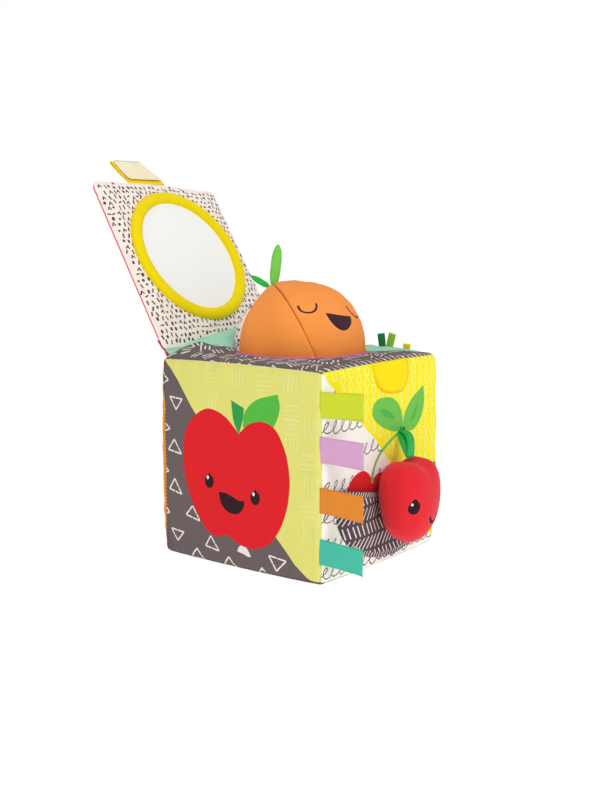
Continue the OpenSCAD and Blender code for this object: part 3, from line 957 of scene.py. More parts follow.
ob = printed_sheet("cherry_pocket_cloth", pocket_edge, "plum", pocket_marks(), pocket_point,
                   even_grid(-72, 78, -76, -8, 2.0), thick=0.9)
add(ob, "cube", "pocket_print", "cherry_pocket")
sheet_facts(ob, 155, 70, "stretched", ["right_cover_cloth"], share=0.72)

# ---------------------------------------------------------------- the lid

HINGE = Vector((-82, 0, 162))
LID_OPEN = radians(-120.5)
LID = Matrix.Translation(HINGE) @ Matrix.Rotation(LID_OPEN, 4, "Y")
LID_T = 3.9  # half of the panel's thickness
LID_A0, LID_LEN, LID_WIDE, LID_CORNER = 1.5, 160, 73, 6.5
MIRROR, MIRROR_R = (85.5, 0.0), 54


def lid_point(a, b, z):
    """a runs from the hinge to the free edge, b along the hinge."""
    return LID @ Vector((a, b, z))


def lid_wide(a, b, z):
    """The panel is a little wider toward the hinge on its +Y side."""
    wide = b * (1 + 0.045 * (1 - a / 160.0) * smooth_step(0, 40, b))
    return lid_point(a - 6.0 * smooth_step(-20, 73, b) * (a / 160.0) ** 3, wide, z)


def rounded_rect(x0, x1, y0, y1, r, step=2.0):
    out = []
    for cx, cy, a0 in ((x1 - r, y1 - r, 0), (x0 + r, y1 - r, 90), (x0 + r, y0 + r, 180),
                       (x1 - r, y0 + r, 270)):
        for k in range(7):
            a = radians(a0 + 15 * k)
            out.append((cx + r * cos(a), cy + r * sin(a)))
    full = []
    for p, q in zip(out, out[1:] + out[:1]):
        n = max(1, int(dist(p, q) / step))
        full += [(p[0] + (q[0] - p[0]) * k / n, p[1] + (q[1] - p[1]) * k / n)
                 for k in range(n)]
    return full


lid_edge = rounded_rect(LID_A0, LID_LEN, -LID_WIDE, LID_WIDE, LID_CORNER)


def lid_inset(a, b, start=LID_A0):
    """Distance in from the lid's edge."""
    da, db = min(a - start, LID_LEN - a), LID_WIDE - abs(b)
    if da < LID_CORNER and db < LID_CORNER:
        return LID_CORNER - hypot(LID_CORNER - da, LID_CORNER - db)
    return min(da, db)


def lid_half(a, b, seed, thick=LID_T, rim=0.4, start=LID_A0):
    """How far a face of the stuffed panel stands off its middle plane."""
    e = max(0.0, lid_inset(a, b, start))
    k = min(1.0, e / 3.6)
    t = thick * (rim * sqrt(max(0.0, 1 - (1 - k) ** 2))
                 + (1 - rim) * smooth_step(0, 15, e))
    t += 0.8 * (1 - exp(-e / 18)) * (0.4 + bent_noise(a, b, seed, 30))
    return t + 0.35 * k * bent_noise(a, b, seed + 4, 9)


def lid_bend(a, b):
    """A gentle bow of the whole panel."""
    return 1.2 * sin(pi * (a - 9) / 151) * (1 - (b / 73) ** 2) * 0.5


def terrazzo(x0, x1, y0, y1, pitch, rng, skip=None):
    """Scattered dots, dashes and hooks. A skipped place still draws its position,
    kind and turn."""
    m = Marks()
    for i, x in enumerate(np.arange(x0, x1, pitch)):
        for y in np.arange(y0 + (pitch / 2 if i % 2 else 0), y1, pitch):
            px, py = x + rng.uniform(-0.9, 0.9), y + rng.uniform(-0.9, 0.9)
            kind, turn = rng.random(), rng.uniform(-0.5, 0.5)
            if skip and skip(px, py):
                continue
            c, s = cos(turn), sin(turn)
            def put(points, w):
                m.stroke([(px + c * p - s * q, py + s * p + c * q) for p, q in points], w,
                         "terrazzo")
            if kind < 0.26:
                m.area(oval(px, py, rng.uniform(1.4, 2.1), rng.uniform(1.1, 1.5), 9),
                       "terrazzo")
            elif kind < 0.56:
                put([(-1.7, 0), (1.5, 0)], rng.uniform(1.2, 1.6))
            elif kind < 0.78:
                put([(-1.3, -1.4), (1.2, 0.0)], 1.15)
                put([(1.2, 0.0), (-1.3, 1.4)], 1.15)
            elif kind < 0.86:
                put([(0, -1.5), (0, 1.3)], 1.2)
            else:
                m.area(oval(px, py, 1.15, 1.15, 8), "terrazzo")
    return m


lid_rng = random.Random(21)


def hidden(a, b):
    """Where no speckle is printed: under the mirror and at the edge."""
    return hypot(a - MIRROR[0], b - MIRROR[1]) < MIRROR_R or lid_inset(a, b) < 1.7


lid_grid = even_grid(LID_A0, LID_LEN, -LID_WIDE, LID_WIDE, 2.6) + [
    p for inset in (0.6, 1.4, 2.6, 4.2) for p in
    rounded_rect(LID_A0 + inset, LID_LEN - inset, -LID_WIDE + inset, LID_WIDE - inset,
                 LID_CORNER - inset)]
ob = printed_sheet("lid_lining_cloth", lid_edge, "lining",
                   terrazzo(3, 160, -71, 73, 5.2, lid_rng, hidden),
                   lambda a, b: lid_wide(a, b, lid_bend(a, b) - lid_half(a, b, 40)),
                   lid_grid, thick=0.8, flip=True)
add(ob, "lid", "terrazzo_print", "lid_lining")
sheet_facts(ob, 152, 157, "stretched", ["lid_foam_pad"])
ob = printed_sheet("lid_outer_cloth", rounded_rect(9, LID_LEN, -LID_WIDE, LID_WIDE, LID_CORNER),
                   "coral", Marks(),
                   lambda a, b: lid_wide(a, b, lid_bend(a, b)
                                         + lid_half(a, b, 60, rim=0.85, start=9.0)),
                   [p for p in lid_grid if lid_inset(*p, 9.0) > 0.5], thick=0.8)
add(ob, "lid", "coral_fabric", "lid_outer_cover")
sheet_facts(ob, 152, 157, "stretched", ["lid_foam_pad"])
ob = pillow("lid_foam_pad", rounded_rect(10, 159, -72, 72, 6, 5.0), "foam",
            lambda a, b, s: lid_wide(a, b, lid_bend(a, b) + s * 0.7 * lid_half(a, b, 40, 3.4)),
            even_grid(10, 159, -72, 72, 7))
add(ob, "lid", "foam", "lid_foam")

# mirror and its stuffed ring: the ring's middle line, half width and half height
RING_R, RING_WIDE, RING_HIGH = 57.0, 5.3, 4.3
ring_z = -LID_T - 1.0


def mirror_point(u, v, side):
    """The film is slightly domed on the side that is seen."""
    r = hypot(u, v)
    dome = 1.1 * (1 - (r / MIRROR_R) ** 2) + 0.25 * bent_noise(u, v, 9, 40)
    z = ring_z - 0.4 - (dome if side > 0 else -0.3)
    return lid_point(MIRROR[0] + u, MIRROR[1] + v, z + lid_bend(*MIRROR))


ob = pillow("mirror_disc", oval(0, 0, MIRROR_R, MIRROR_R, 96), "mirror", mirror_point,
            even_grid(-MIRROR_R, MIRROR_R, -MIRROR_R, MIRROR_R, 3.5))
ob.data.flip_normals()
add(ob, "lid", "mirror", "mirror_film")
rows = []
for i in range(288):
    a = tau * i / 288
    c, s = cos(a), sin(a)
    puff = (1 + 0.035 * bent_noise(c * 14, s * 14, 2.0, 1.0)
            + 0.03 * bent_noise(c * 4, s * 4, 7.0, 1.0))
    row = []
    for k in range(20):
        b = tau * k / 20
        w = RING_WIDE * puff * cos(b)
        h = RING_HIGH * puff * sin(b)
        gather = 0.22 * exp(-((cos(b) + 1) / 0.35) ** 2) * sin(i * tau / 3)
        r = RING_R + w + gather
        row.append(lid_point(MIRROR[0] + r * c, MIRROR[1] + r * s,
                             ring_z - 0.6 - h + lid_bend(*MIRROR)))
    rows.append(row)
ob = lattice("mirror_ring_fleece", rows, "ring", True, True)
ob.data.flip_normals()
add(ob, "lid", "yellow_fleece", "mirror_ring")
for k, r in enumerate((52.6, 61.9)):
    path = [lid_point(MIRROR[0] + x, MIRROR[1] + y, ring_z - 1.2)
            for x, y in oval(0, 0, r, r, 160)]
    ob = stitches("ring_thread_%d" % (k + 1), path + path[:1],
                  [LID.to_3x3() @ Vector((0, 0, -1))] * 161, "yellow_thread", 1.6, 1.3, 0.26)
    add(ob, "lid")

# tab at the lid's free edge
TAB_Y, TAB_LEN, TAB_STRETCH = -9.0, 20.0, 1.42
TAB = LID @ Matrix.Translation((160.8, TAB_Y, 0)) @ Matrix.Rotation(radians(-20), 4, "Y")


def tab_point(u, v, z):
    """The tab leans, and narrows on one side toward its tip."""
    side = v - (0.2 * v + 3.6) * smooth_step(0, TAB_LEN, u) * min(1.0, max(0.0, v / 12))
    return TAB @ Vector((u * TAB_STRETCH, side, z + 0.9 * sin(u / 7.0)))


rows, flat = [], []
loop = ([(-1.5 + k * 1.5, 0.25 + 0.06 * k) for k in range(14)]
        + [(19.4, 1.0), (20.0, 0.55), (20.15, 0.0), (20.0, -0.55), (19.4, -1.0)]
        + [(18.0 - k * 1.5, -1.03 + 0.06 * k) for k in range(14)])
for a, z in loop:
    rows.append([tab_point(a, -21 + 42 * k / 16, z + 0.15 * bent_noise(a, k, 2, 5))
                 for k in range(17)])
    flat += [(a if z > 0 else 40 - a, -21 + 42 * k / 16) for k in range(17)]
ob = lattice("lid_tab_satin", rows, "sun", flat=flat)
ob = thicken(ob, 0.5, 0.0)
add(ob, "lid_tab", "yellow_satin", "lid_tab_ribbon")
sheet_facts(ob, 42, 54, "folded", ["lid_outer_cloth"])
ob = pillow("lid_tab_hook_patch", rounded_rect(1.2, 19.4, -19.6, 20.4, 1.5, 1.5), "hook",
            lambda u, v, s: tab_point(u, v, -2.1 - (0.45 if s > 0 else -0.3)),
            even_grid(1, 20, -20, 21, 1.5))
ob.data.flip_normals()
add(ob, "lid_tab", "hook_tape", "lid_tab_hook")

# fabric that crosses the hinge: coral outside, mint inside
def hinge_sheet(name, key, profile, deep, nodes=()):
    """Cloth over the hinge, swept along it from a profile of (x, z) points."""
    pts = spline([(p[0], p[1], 0) for p in profile], 1.2)
    rows, flat = [], []
    for p in pts:
        rows.append([Vector((p[0] + 0.5 * bent_noise(y, p[1], 3, 9), y, p[1]))
                     for y in np.linspace(-72, 72, 73)])
        flat += [(y, p[1]) for y in np.linspace(-72, 72, 73)]
    ob = thicken(lattice(name, rows, key, flat=flat), 0.7, 0.0)
    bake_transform(ob)
    if nodes:
        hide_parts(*nodes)
    sheet_facts(ob, 144, deep, "stretched", ["left_cover_cloth"])
    return ob


def lid_xz(a, z):
    p = lid_point(a, 0, z)
    return (p.x, p.z)


hinge_sheet("lid_hinge_cloth", "coral", [(-79.4, 156.4), (-80.6, 158.4), (-82.2, 160.8),
            (-83.6, 163.2), lid_xz(6, 2.2), lid_xz(13, 3.5)], 21,
            ("lid_hinge_tape",))
hinge_sheet("lid_hinge_facing", "mint", [(-74.5, 159.6), (-77.5, 161.0), (-79.6, 162.6),
            lid_xz(1.4, -1.4), lid_xz(3.2, -1.9)], 11.5)

# ---------------------------------------------------------------- the fruit

FRUIT_R = 50.8
FRUIT = (Matrix.Translation((0, 0, 168)) @ Matrix.Rotation(radians(200.4), 4, "Z")
         @ Matrix.Rotation(radians(27), 4, "Y") @ Matrix.Rotation(radians(24.8), 4, "Z"))
FRUIT_INV = FRUIT.inverted()
QUARTER = pi / 2


# The seam left of the face sits nearer to it than a quarter turn. These three are
# set below, once it is known which gores face the camera.
SEAM_AT, SEAM_SHIFT, BULGE_AT = 0.0, 0.0, 0.0


def warp(theta, phi):
    """Longitude of a place on the gores, whose seams are counted in quarter turns."""
    off = (phi - SEAM_AT + pi) % (tau) - pi
    if abs(off) > QUARTER:
        return phi
    return phi + SEAM_SHIFT * (1 - smooth_step(0.3, 2.4, theta)) * cos(off) ** 2


def fruit_radius(theta, phi):
    r = FRUIT_R - 0.7 + 1.7 * cos(4 * phi) * sin(theta) ** 2
    off = (phi + QUARTER / 2) % QUARTER - QUARTER / 2
    d = abs(off) * sin(theta) * FRUIT_R
    r -= 0.9 * exp(-(d / 1.1) ** 2)
    c = Vector((sin(theta) * cos(warp(theta, phi)),
                sin(theta) * sin(warp(theta, phi)),
                cos(theta)))
    k = d / 4.0
    r += 0.5 * k * exp(1 - k) * bent_noise(theta * 7, round(phi / QUARTER), 5.0, 1.0)
    r += 0.7 * noise.noise(c * 1.7 + Vector((4, 1, 7)))
    r += 3.6 * exp(-(theta / 0.34) ** 2)
    beside = (phi - BULGE_AT + pi) % (tau) - pi
    r += 4.0 * exp(-(beside / 0.42) ** 2 - ((theta - 1.0) / 0.42) ** 2)
    return r


def fruit_point(theta, phi, lift=0.0):
    r = fruit_radius(theta, phi) + lift
    phi = warp(theta, phi)
    return FRUIT @ Vector((r * sin(theta) * cos(phi),
                           r * sin(theta) * sin(phi), r * cos(theta)))


def direction(az, el):
    a, e = radians(az), radians(el)
    return Vector((cos(a) * cos(e), sin(a) * cos(e), sin(e)))


def gore_flat(az, el, middle):
    """Where a direction from the fruit's centre falls on the gore's flat pattern."""
    d = FRUIT_INV.to_3x3() @ direction(az, el)
    theta, phi = acos(max(-1, min(1, d.z))), atan2(d.y, d.x)
    off = (phi - middle + pi) % (tau) - pi
    return (off * FRUIT_R * sin(theta), theta * FRUIT_R)


face_phi = atan2(*(FRUIT_INV.to_3x3() @ direction(-10, 30)).yx)
TO_CAMERA = Vector((0.6008, -0.7858, 0.1468))


def gore_faces(number):
    """How squarely a gore faces the camera."""
    middle = QUARTER * (number + 0.5)
    return (FRUIT.to_3x3() @ Vector((cos(middle), sin(middle), 0))).dot(TO_CAMERA)


orange_gores = sorted(range(1, 5), key=gore_faces)[2:]
face_gore = int((face_phi % (tau)) // QUARTER) or 4
other_gore = [n for n in orange_gores if n != face_gore][0]
before = (other_gore + 1 - face_gore) % 4 == 0
SEAM_AT = QUARTER * (other_gore if before else other_gore + 1)
SEAM_SHIFT = radians(26 if before else -26)
BULGE_AT = SEAM_AT + (-0.5 if before else 0.5)
for number in range(1, 5):
    start = QUARTER * number
    middle = start + QUARTER / 2
    m = Marks()
    if (face_phi - start) % (tau) < QUARTER:
        flat_path = lambda pts: [gore_flat(az, el, middle) for az, el in pts]
        left_eye = spline(flat_path([(-56.5, 41), (-53.5, 36.4), (-48.5, 34.4), (-43, 34.4),
                                     (-37.8, 36.6), (-34.6, 40.4), (-33.8, 44.8)]), 1.0)
        right_eye = spline(flat_path([(15.6, 39.6), (16.4, 34.4), (19.4, 30.2), (23.6, 27.4),
                                      (28, 26.4), (32, 27.6), (35, 31)]), 1.0)
        m.stroke(left_eye, 1.6, "face")
        m.stroke(right_eye, 1.6, "face")
        mouth = (spline(flat_path([(-25.4, 34.6), (-12, 33), (0, 31.2), (12, 29.4)]), 1.5)[:-1]
                 + spline(flat_path([(12, 29.4), (9.6, 24.6), (5.3, 21), (-1, 18), (-7.4, 16.8),
                                     (-14, 18.4), (-19.6, 22.6), (-23.4, 28.4),
                                     (-25.4, 34.6)]), 1.5)[:-1])
        m.area(mouth, "face")
    lens = []
    for k in range(1, 100):
        v = pi * FRUIT_R * k / 100
        lens.append((QUARTER / 2 * FRUIT_R * sin(v / FRUIT_R), v))
    edge = [(0, 0)] + lens + [(0, pi * FRUIT_R)] + [(-x, y) for x, y in lens[::-1]]

    def gore_point(u, v, middle=middle):
        theta = min(pi - 1e-4, max(1e-4, v / FRUIT_R))
        off = max(-QUARTER / 2, min(QUARTER / 2, u / (FRUIT_R * sin(theta))))
        return fruit_point(theta, middle + off)

    points = [p for p in even_grid(-41, 41, 0, 159.5, 2.2)
              if abs(p[0]) < QUARTER / 2 * FRUIT_R * sin(p[1] / FRUIT_R) - 0.8]
    points += [(s * (x - inset), v) for inset in (0.5, 1.2, 2.2) for s in (-1, 1)
               for x, v in lens if x > inset + 1]
    base = "orange" if number in orange_gores else "lining"
    for s in (-1, 1):
        m.stroke([(s * (x - 0.2), v) for x, v in lens if 6 < v < 120], 0.42, "rust_thread")
    if base == "lining":
        m = terrazzo(-41, 41, 3, 157, 5.0, random.Random(60 + number),
                     lambda x, y: abs(x) > QUARTER / 2 * FRUIT_R * sin(y / FRUIT_R) - 1.6)
    ob = printed_sheet("fruit_gore_%d_cloth" % number, edge, base, m, gore_point, points,
                       thick=0.5)
    add(ob, "fruit", "orange_plush", "fruit_gore_%d" % number)
    sheet_facts(ob, 82, 163, "stretched", ["fruit_filling"], share=0.64)
    path = [(pi * k / 160, start) for k in range(6, 110)]
    ob = stitches("fruit_seam_thread_%d" % number,
                  [fruit_point(t, p, 0.15) for t, p in path],
                  [FRUIT.to_3x3() @ Vector((sin(t) * cos(p),
                                            sin(t) * sin(p), cos(t)))
                   for t, p in path], "rust_thread", 1.6, 0.8, 0.36)
    add(ob, "fruit")
rows = [[fruit_point(max(1e-3, pi * i / 40), tau * k / 64, -1.8) for k in range(64)]
        for i in range(41)]
ob = lattice("fruit_filling", rows, "fibre", False, True)
add(ob, "fruit", "fibre", "fruit_stuffing")


def leaf_outline(length, width, n=24):
    """A blunt oval that starts at the leaf's base."""
    half = [(width / 2 * (1 - abs(2 * k / n - 1) ** 3.2) ** 0.7, length * k / n)
            for k in range(1, n)]
    return [(0, 0)] + half + [(0, length)] + [(-x, y) for x, y in half[::-1]]


def leaf(name, key, base, tip, side, width, body, node, curl, fat=1.6):
    """A padded leaf from base to tip; side is the direction of its width."""
    base, tip = Vector(base), Vector(tip)
    up = (tip - base).normalized()
    length = (tip - base).length
    across = Vector(side)
    across = (across - up * across.dot(up)).normalized()
    out = across.cross(up)
    edge = leaf_outline(length, width)
    loop = np.array(edge + edge[:1])

    def place(u, v, s):
        half = max(1e-6, np.interp(v, loop[:26, 1], loop[:26, 0]))
        k = min(1.0, abs(u) / half)
        t = fat * sqrt(max(0.0, 1 - k * k)) * (0.5 + 0.5 * min(1.0, v / 5))
        bend = curl * (v / length) ** 2
        crease = -0.5 * exp(-(u / 0.8) ** 2) * min(1.0, (length - v) / 6)
        return base + up * v + across * u + out * (bend + s * (t + crease * (t > 0.4)))

    ob = pillow(name, edge, key, place, [(x, y) for x, y in even_grid(-width / 2, width / 2, 0,
                length, 1.1) if abs(x) < np.interp(y, loop[:26, 1], loop[:26, 0]) - 0.5])
    ob.data.flip_normals()
    add(ob, body, "leaf_fabric", node)
    return ob


leaf("leaf_tall_cloth", "leaf_light", (-22.4, -8, 213.4), (-21.6, -2.2, 248.4),
     (0.8, 0.6, 0), 8.4, "leaf_tall", "leaf_tall", 1.5)
leaf("leaf_short_cloth", "leaf_deep", (-24.6, -9.6, 214), (-45.4, -6.6, 221.6),
     (0.2, 0.5, 0.85), 5.0, "leaf_short", "leaf_short", 2.0)
pole = fruit_point(0.001, 0)
ring = [pole + Vector((cos(a) * 2.6, sin(a) * 2.6, -0.5))
        for a in np.linspace(0, tau, 40)]
ob = stitches("leaf_base_thread", ring + [pole + Vector((3, 1, 0)), pole - Vector((3, 1, 0))],
              [(0.2, 0.1, 1)] * 42, "moss_thread", 1.9, 0.5, 0.5, 0.3)
add(ob, "fruit", "green_thread", "leaf_stitch")

# ---------------------------------------------------------------- the cherry

CHERRY = Vector((104, 1.9, 53.5))
SEMI = Vector((20.6, 27.0, 32.6))
FLAT = 42.0  # radius of the panels' flat pattern
FRONT_REACH = 0.6  # how far behind the outline the seam lies, in radians


def cherry_form(d):
    """The surface point of the stuffed cherry in a direction of its unit sphere."""
    full = 2.1 + 0.75 * smooth_step(-0.25, 0.55, d.z)
    k = sum(abs(c) ** full for c in d) ** (-1 / full)
    p = Vector((d.x * SEMI.x, d.y * SEMI.y, d.z * SEMI.z)) * k
    top = smooth_step(0.35, 1.0, d.z)
    p.z -= 4.2 * top * exp(-((p.y - 2.5) / 8.5) ** 2)
    p.z += 2.0 * top * exp(-((p.y - 15) / 8) ** 2)
    p *= 1 + 0.022 * noise.noise(d * 2.3 + Vector((3, 8, 1)))
    return p


def cherry_point(u, v, front, lift=0.0):
    rho = min(1.0, hypot(u, v) / FLAT)
    ang = atan2(v, u)
    reach = pi / 2 + FRONT_REACH * front
    s = sin(rho * reach)
    d = Vector((cos(rho * reach) * front, s * cos(ang), s * sin(ang)))
    p = cherry_form(d)
    e = (1 - rho) * FLAT
    seam = -0.4 * exp(-(e / 1.5) ** 2)
    k = e / 4.0
    seam += 0.55 * k * exp(1 - k) * bent_noise(ang * 8, front, 3.0, 1.0)
    p += p.normalized() * (seam + lift)
    return CHERRY + p


def cherry_flat(p):
    """The flat pattern's point nearest to a point of the cherry's front."""
    best, where = 1e9, (0.0, 0.0)
    for step, span in ((4.0, FLAT), (1.0, 5.0), (0.25, 1.3)):
        cu, cv = where
        for u in np.arange(cu - span, cu + span + 1e-6, step):
            for v in np.arange(cv - span, cv + span + 1e-6, step):
                if hypot(u, v) > FLAT:
                    continue
                d = (cherry_point(u, v, 1) - p).length
                if d < best:
                    best, where = d, (u, v)
    return where


def cherry_marks():
    m = Marks()
    for eye, t in ((Vector((119.5, -16.6, 53.5)), Vector((0.55, 0.83, 0))),
                   (Vector((108.6, 27.4, 53.0)), Vector((-0.97, 0.22, 0)))):
        def on(points):
            return [cherry_flat(eye + t * x + Vector((0, 0, z))) for x, z in points]
        m.area(spline(on([(0.5, 6.6), (-2.6, 3.9), (-4.8, 0.6), (-4.4, -3.2), (-1.6, -5.4),
                          (2, -5.2), (4.6, -2.6), (5, 1.2), (3.2, 4.2)]), 1.0, True), "ink")
        m.area(spline(on([(-1.6, 3.6), (-2.8, 2.4), (-1.8, 1.2), (-0.6, 2.2)]), 0.6, True),
               "white_dot")
    smile = [(123.4, 0.6, 42.6), (122.8, 3.2, 39.2), (122, 6.4, 37.8), (121, 9.6, 39.4),
             (120, 12.0, 43.6)]
    m.stroke(spline([cherry_flat(Vector(p)) for p in smile], 1.2), 1.8, "ink")
    return m


disc = oval(0, 0, FLAT, FLAT, 150)
points = [p for p in even_grid(-FLAT, FLAT, -FLAT, FLAT, 1.8) if hypot(*p) < FLAT - 2.2]
points += [p for inset in (0.5, 1.1, 1.9) for p in oval(0, 0, FLAT - inset, FLAT - inset, 150)]
for name, node, front, marks, cut in (
        ("cherry_front_cloth", "cherry_front_panel", 1, cherry_marks(), (94, 102)),
        ("cherry_back_cloth", "cherry_back_panel", -1, Marks(), (52, 58))):
    ob = printed_sheet(name, disc, "cherry", marks,
                       lambda u, v: cherry_point(u, v, front), points, thick=0.6,
                       flip=front < 0)
    add(ob, "cherry", "cherry_red", node)
    sheet_facts(ob, *cut, "stretched", ["cherry_filling"], share=0.72)
rows = []
for i in range(1, 24):
    th = pi * i / 24
    rows.append([CHERRY + cherry_form(Vector((sin(th) * cos(a),
                                              sin(th) * sin(a),
                                              cos(th)))) * 0.94
                 for a in np.linspace(0, tau, 40, endpoint=False)])
first, last = [[row[0].lerp(row[20], 0.5)] * 40 for row in (rows[0], rows[-1])]
rows = [first] + rows + [last]
ob = lattice("cherry_filling", rows, "fibre", False, True)
add(ob, "cherry", "fibre", "cherry_stuffing")
path = [cherry_point(FLAT * cos(a), FLAT * sin(a), 1, 0.3)
        for a in np.linspace(0, tau, 180)]
ob = stitches("cherry_seam_thread", path, [p - CHERRY for p in path], "red_thread",
              1.5, 1.4, 0.25)
add(ob, "cherry")

# ribbon that the cherry hangs on
ANCHOR = Vector((81, 23, 103.5))
run_dir = Vector((cos(radians(-40.4)), sin(radians(-40.4)), 0))
width_dir = Vector((-run_dir.y, run_dir.x, 0))


def strand(bow, sway):
    """The path of one layer of the cherry's ribbon, from the tack to the cherry."""
    pts = []
    for k in range(17):
        t = k / 16
        arch = sin(pi * t)
        q = ANCHOR + run_dir * (2.4 + 24.6 * t) + Vector((0, 0, -17.6 * t + 2.5 * arch))
        q += Vector((0.5, -0.4, 0.75)) * (bow * arch) + width_dir * (sway * arch)
        pts.append(q)
    return pts


for name, bow, sway in (("cherry_ribbon_front", 3.2, 2.8),
                        ("cherry_ribbon_back", -0.6, -1.6)):
    ob = ribbon(name, strand(bow, sway),
                lambda t: width_dir + Vector((0.0, 0.0, 0.25)) * sin(pi * t),
                6.2, "green", 0.5, 6, 0.4)
    add(ob, "cherry_loop", "green_ribbon", *(["cherry_loop"] if bow > 0 else []))
    sheet_facts(ob, 10, 31, "hung", ["cherry_bar_tack"], share=0.62)
tack = [ANCHOR + Vector((0.2 + 1.4 * sin(k * 1.9) ** 2, -3.6 + 1.2 * k,
                         0.2 + 0.7 * sin(k * 2.3))) for k in range(7)]
ob = stitches("cherry_bar_tack", [p + Vector((0, 0, z)) for z in (-1.1, 0, 1.1) for p in tack],
              [(1, -0.3, 0.3)] * 21, "moss_thread", 3.4, -2.3, 0.55, 0.4, 0.5)
add(ob, "cube", "green_thread", "loop_bar_tack")

# ---------------------------------------------------------------- ribbon tags

TAG_TURN, TAG_WIDE, TAG_CUT = radians(17), 19.0, 66
for k, (key, z0, tilt, gap, sag, slot) in enumerate((
        ("lime", 126.0, 0.0, 1.3, 0.2, "lime_satin"),
        ("lilac", 93.0, 0.05, 1.5, -0.6, "lilac_satin"),
        ("amber", 55.5, 0.09, 1.8, -0.8, "orange_satin"),
        ("teal", 16.5, 0.11, 1.8, -1.0, "teal_satin"))):
    d = Vector((cos(TAG_TURN), sin(TAG_TURN), 0))
    s = Vector((-d.y, d.x, 0))
    out = 78.6 + 1.5 * (1 - ((z0 + TAG_WIDE / 2 - HALF) / HALF) ** 2)
    base = Vector((out, -out, z0 + TAG_WIDE / 2))
    half = gap / 2 + 0.3
    line = [(-1.5, 0.3), (3, 0.5), (9, 0.9), (16, 0.75 * half), (23, 0.95 * half), (28.4, half)]
    fold = [(30.6, half * 0.86), (31.4, half * 0.3), (31.4, -half * 0.3), (30.6, -half * 0.86)]
    back = [(x, -y * 0.96) for x, y in line[::-1]]
    flat_path = [np.array(p) for p in spline(line, 1.2)[:-1] + spline(
        [line[-1]] + fold + [back[0]], 0.6)[:-1] + spline(back, 1.2)]
    path = []
    for i, (x, y) in enumerate(flat_path):
        wave = 0.5 * bent_noise(x, k * 7.0, 3.0, 12.0) * min(1.0, x / 8 if x > 0 else 0)
        drop = -tilt * x + sag * (x / 30) ** 2 - (1.6 if i < len(flat_path) / 2 else 0) * x / 31
        path.append(base + d * x + s * (y + wave) + Vector((0, 0, drop)))
    ob = ribbon("tag_%s_satin" % key, path, lambda t: (0, 0, 1), TAG_WIDE,
                key, 0.45, 12, 0.0)
    node = {"amber": "tag_orange"}.get(key, "tag_" + key)
    add(ob, node, slot, node)
    sheet_facts(ob, TAG_WIDE, TAG_CUT, "folded", ["front_cover_cloth"])

for key, node, x, lean, length, slot in (
        ("deep_green", "back_tag_green", 26, -8, 13.0, "green_ribbon"),
        ("grass", "back_tag_lime", 32, 14, 14.0, "lime_satin"),
        ("sun", "back_tag_yellow", 50, 0, 5.6, "yellow_satin")):
    tip = Matrix.Rotation(radians(lean), 3, "Y") @ Vector((0, 0, 1))
    base = Vector((x, 79.6, 158.6))
    line = [(0, 0.35), (4, 0.6), (length, 0.9), (length + 0.9, 0.5), (length + 1.1, 0),
            (length + 0.9, -0.5), (length, -0.9), (4, -0.6), (0, -0.35)]
    path = [base + tip * p[0] + Vector((0, 1, 0)) * (p[1] + 1.2) for p in spline(line, 0.8)]
    across = Matrix.Rotation(radians(lean), 3, "Y") @ Vector((1, 0, 0))
    ob = ribbon(node + "_satin", path, lambda t: across, 6.2, key, 0.4, 6)
    add(ob, node, slot, node)
    sheet_facts(ob, 10, 2 * length + 2, "folded", ["back_cover_cloth"], share=0.62)

# ---------------------------------------------------------------- kept CAD nodes

for node, key in (("crinkle_film", "film"), ("rattle_capsule", "capsule"),
                  ("rattle_beads", "bead")):
    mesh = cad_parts[node].data
    mesh.materials.clear()
    mesh.materials.append(M[key])

# ---------------------------------------------------------------- stage, light and camera

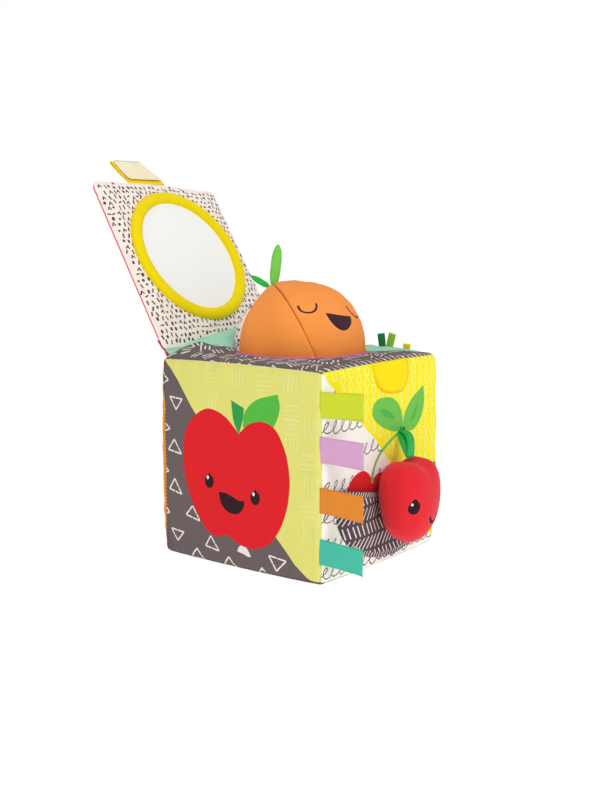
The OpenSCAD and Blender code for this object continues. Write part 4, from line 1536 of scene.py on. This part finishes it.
scene = bpy.context.scene
scene.view_settings.view_transform = "Standard"
world = bpy.data.worlds.new("studio")
scene.world = world
world.use_nodes = True
nodes, links = world.node_tree.nodes, world.node_tree.links
background = nodes["Background"]
background.inputs["Color"].default_value = (1.0, 1.0, 1.0, 1.0)
background.inputs["Strength"].default_value = 0.46
white = nodes.new("ShaderNodeBackground")
white.inputs["Color"].default_value = (1, 1, 1, 1)
white.inputs["Strength"].default_value = 1.0
rays = nodes.new("ShaderNodeLightPath")
choose = nodes.new("ShaderNodeMixShader")
links.new(rays.outputs["Is Camera Ray"], choose.inputs[0])
links.new(background.outputs[0], choose.inputs[1])
links.new(white.outputs[0], choose.inputs[2])
links.new(choose.outputs[0], nodes["World Output"].inputs["Surface"])

floor_mesh = bpy.data.meshes.new("floor")
floor_mesh.from_pydata([(-6, -6, 0), (6, -6, 0), (6, 6, 0), (-6, 6, 0)], [], [(0, 1, 2, 3)])
floor = bpy.data.objects.new("floor", floor_mesh)
scene.collection.objects.link(floor)
g = Graph("floor_white")
g.set(Base_Color=(0.5, 0.5, 0.5, 1), Roughness=0.9, Specular_IOR_Level=0.0,
      Emission_Color=(1, 1, 1, 1), Emission_Strength=0.8)
floor_mesh.materials.append(g.material)


def area_light(name, at, look, size, power):
    data = bpy.data.lights.new(name, "AREA")
    data.size = size
    data.energy = power
    ob = bpy.data.objects.new(name, data)
    ob.location = at
    ob.rotation_mode = "QUATERNION"
    ob.rotation_quaternion = (Vector(look) - Vector(at)).to_track_quat("-Z", "Y")
    scene.collection.objects.link(ob)


area_light("key", (1.15, -0.35, 1.15), (0, 0, 0.1), 0.9, 9.0)
area_light("top", (-0.1, 0.05, 1.5), (0, 0, 0.15), 1.1, 3.8)
area_light("fill", (0.1, -1.7, 0.55), (0, 0, 0.1), 1.2, 4.5)

# the photograph's viewing angle, fitted to the cube's corners
a, e = radians(37.4), radians(8.44)
back = Vector((sin(a) * cos(e), -cos(a) * cos(e), sin(e)))
right = Vector((cos(a), sin(a), 0))
up = back.cross(right)
camera_data = bpy.data.cameras.new("camera")
camera_data.lens = 52.0
camera_data.sensor_width = 36.0
camera = bpy.data.objects.new("camera", camera_data)
camera.location = back * 0.9504 - right * 0.00096 + up * 0.04208 + Vector((0, 0, 0.08))
camera.rotation_mode = "QUATERNION"
camera.rotation_quaternion = (-back).to_track_quat("-Z", "Y")
camera_data.clip_start, camera_data.clip_end = 0.05, 30.0
scene.collection.objects.link(camera)
scene.camera = camera
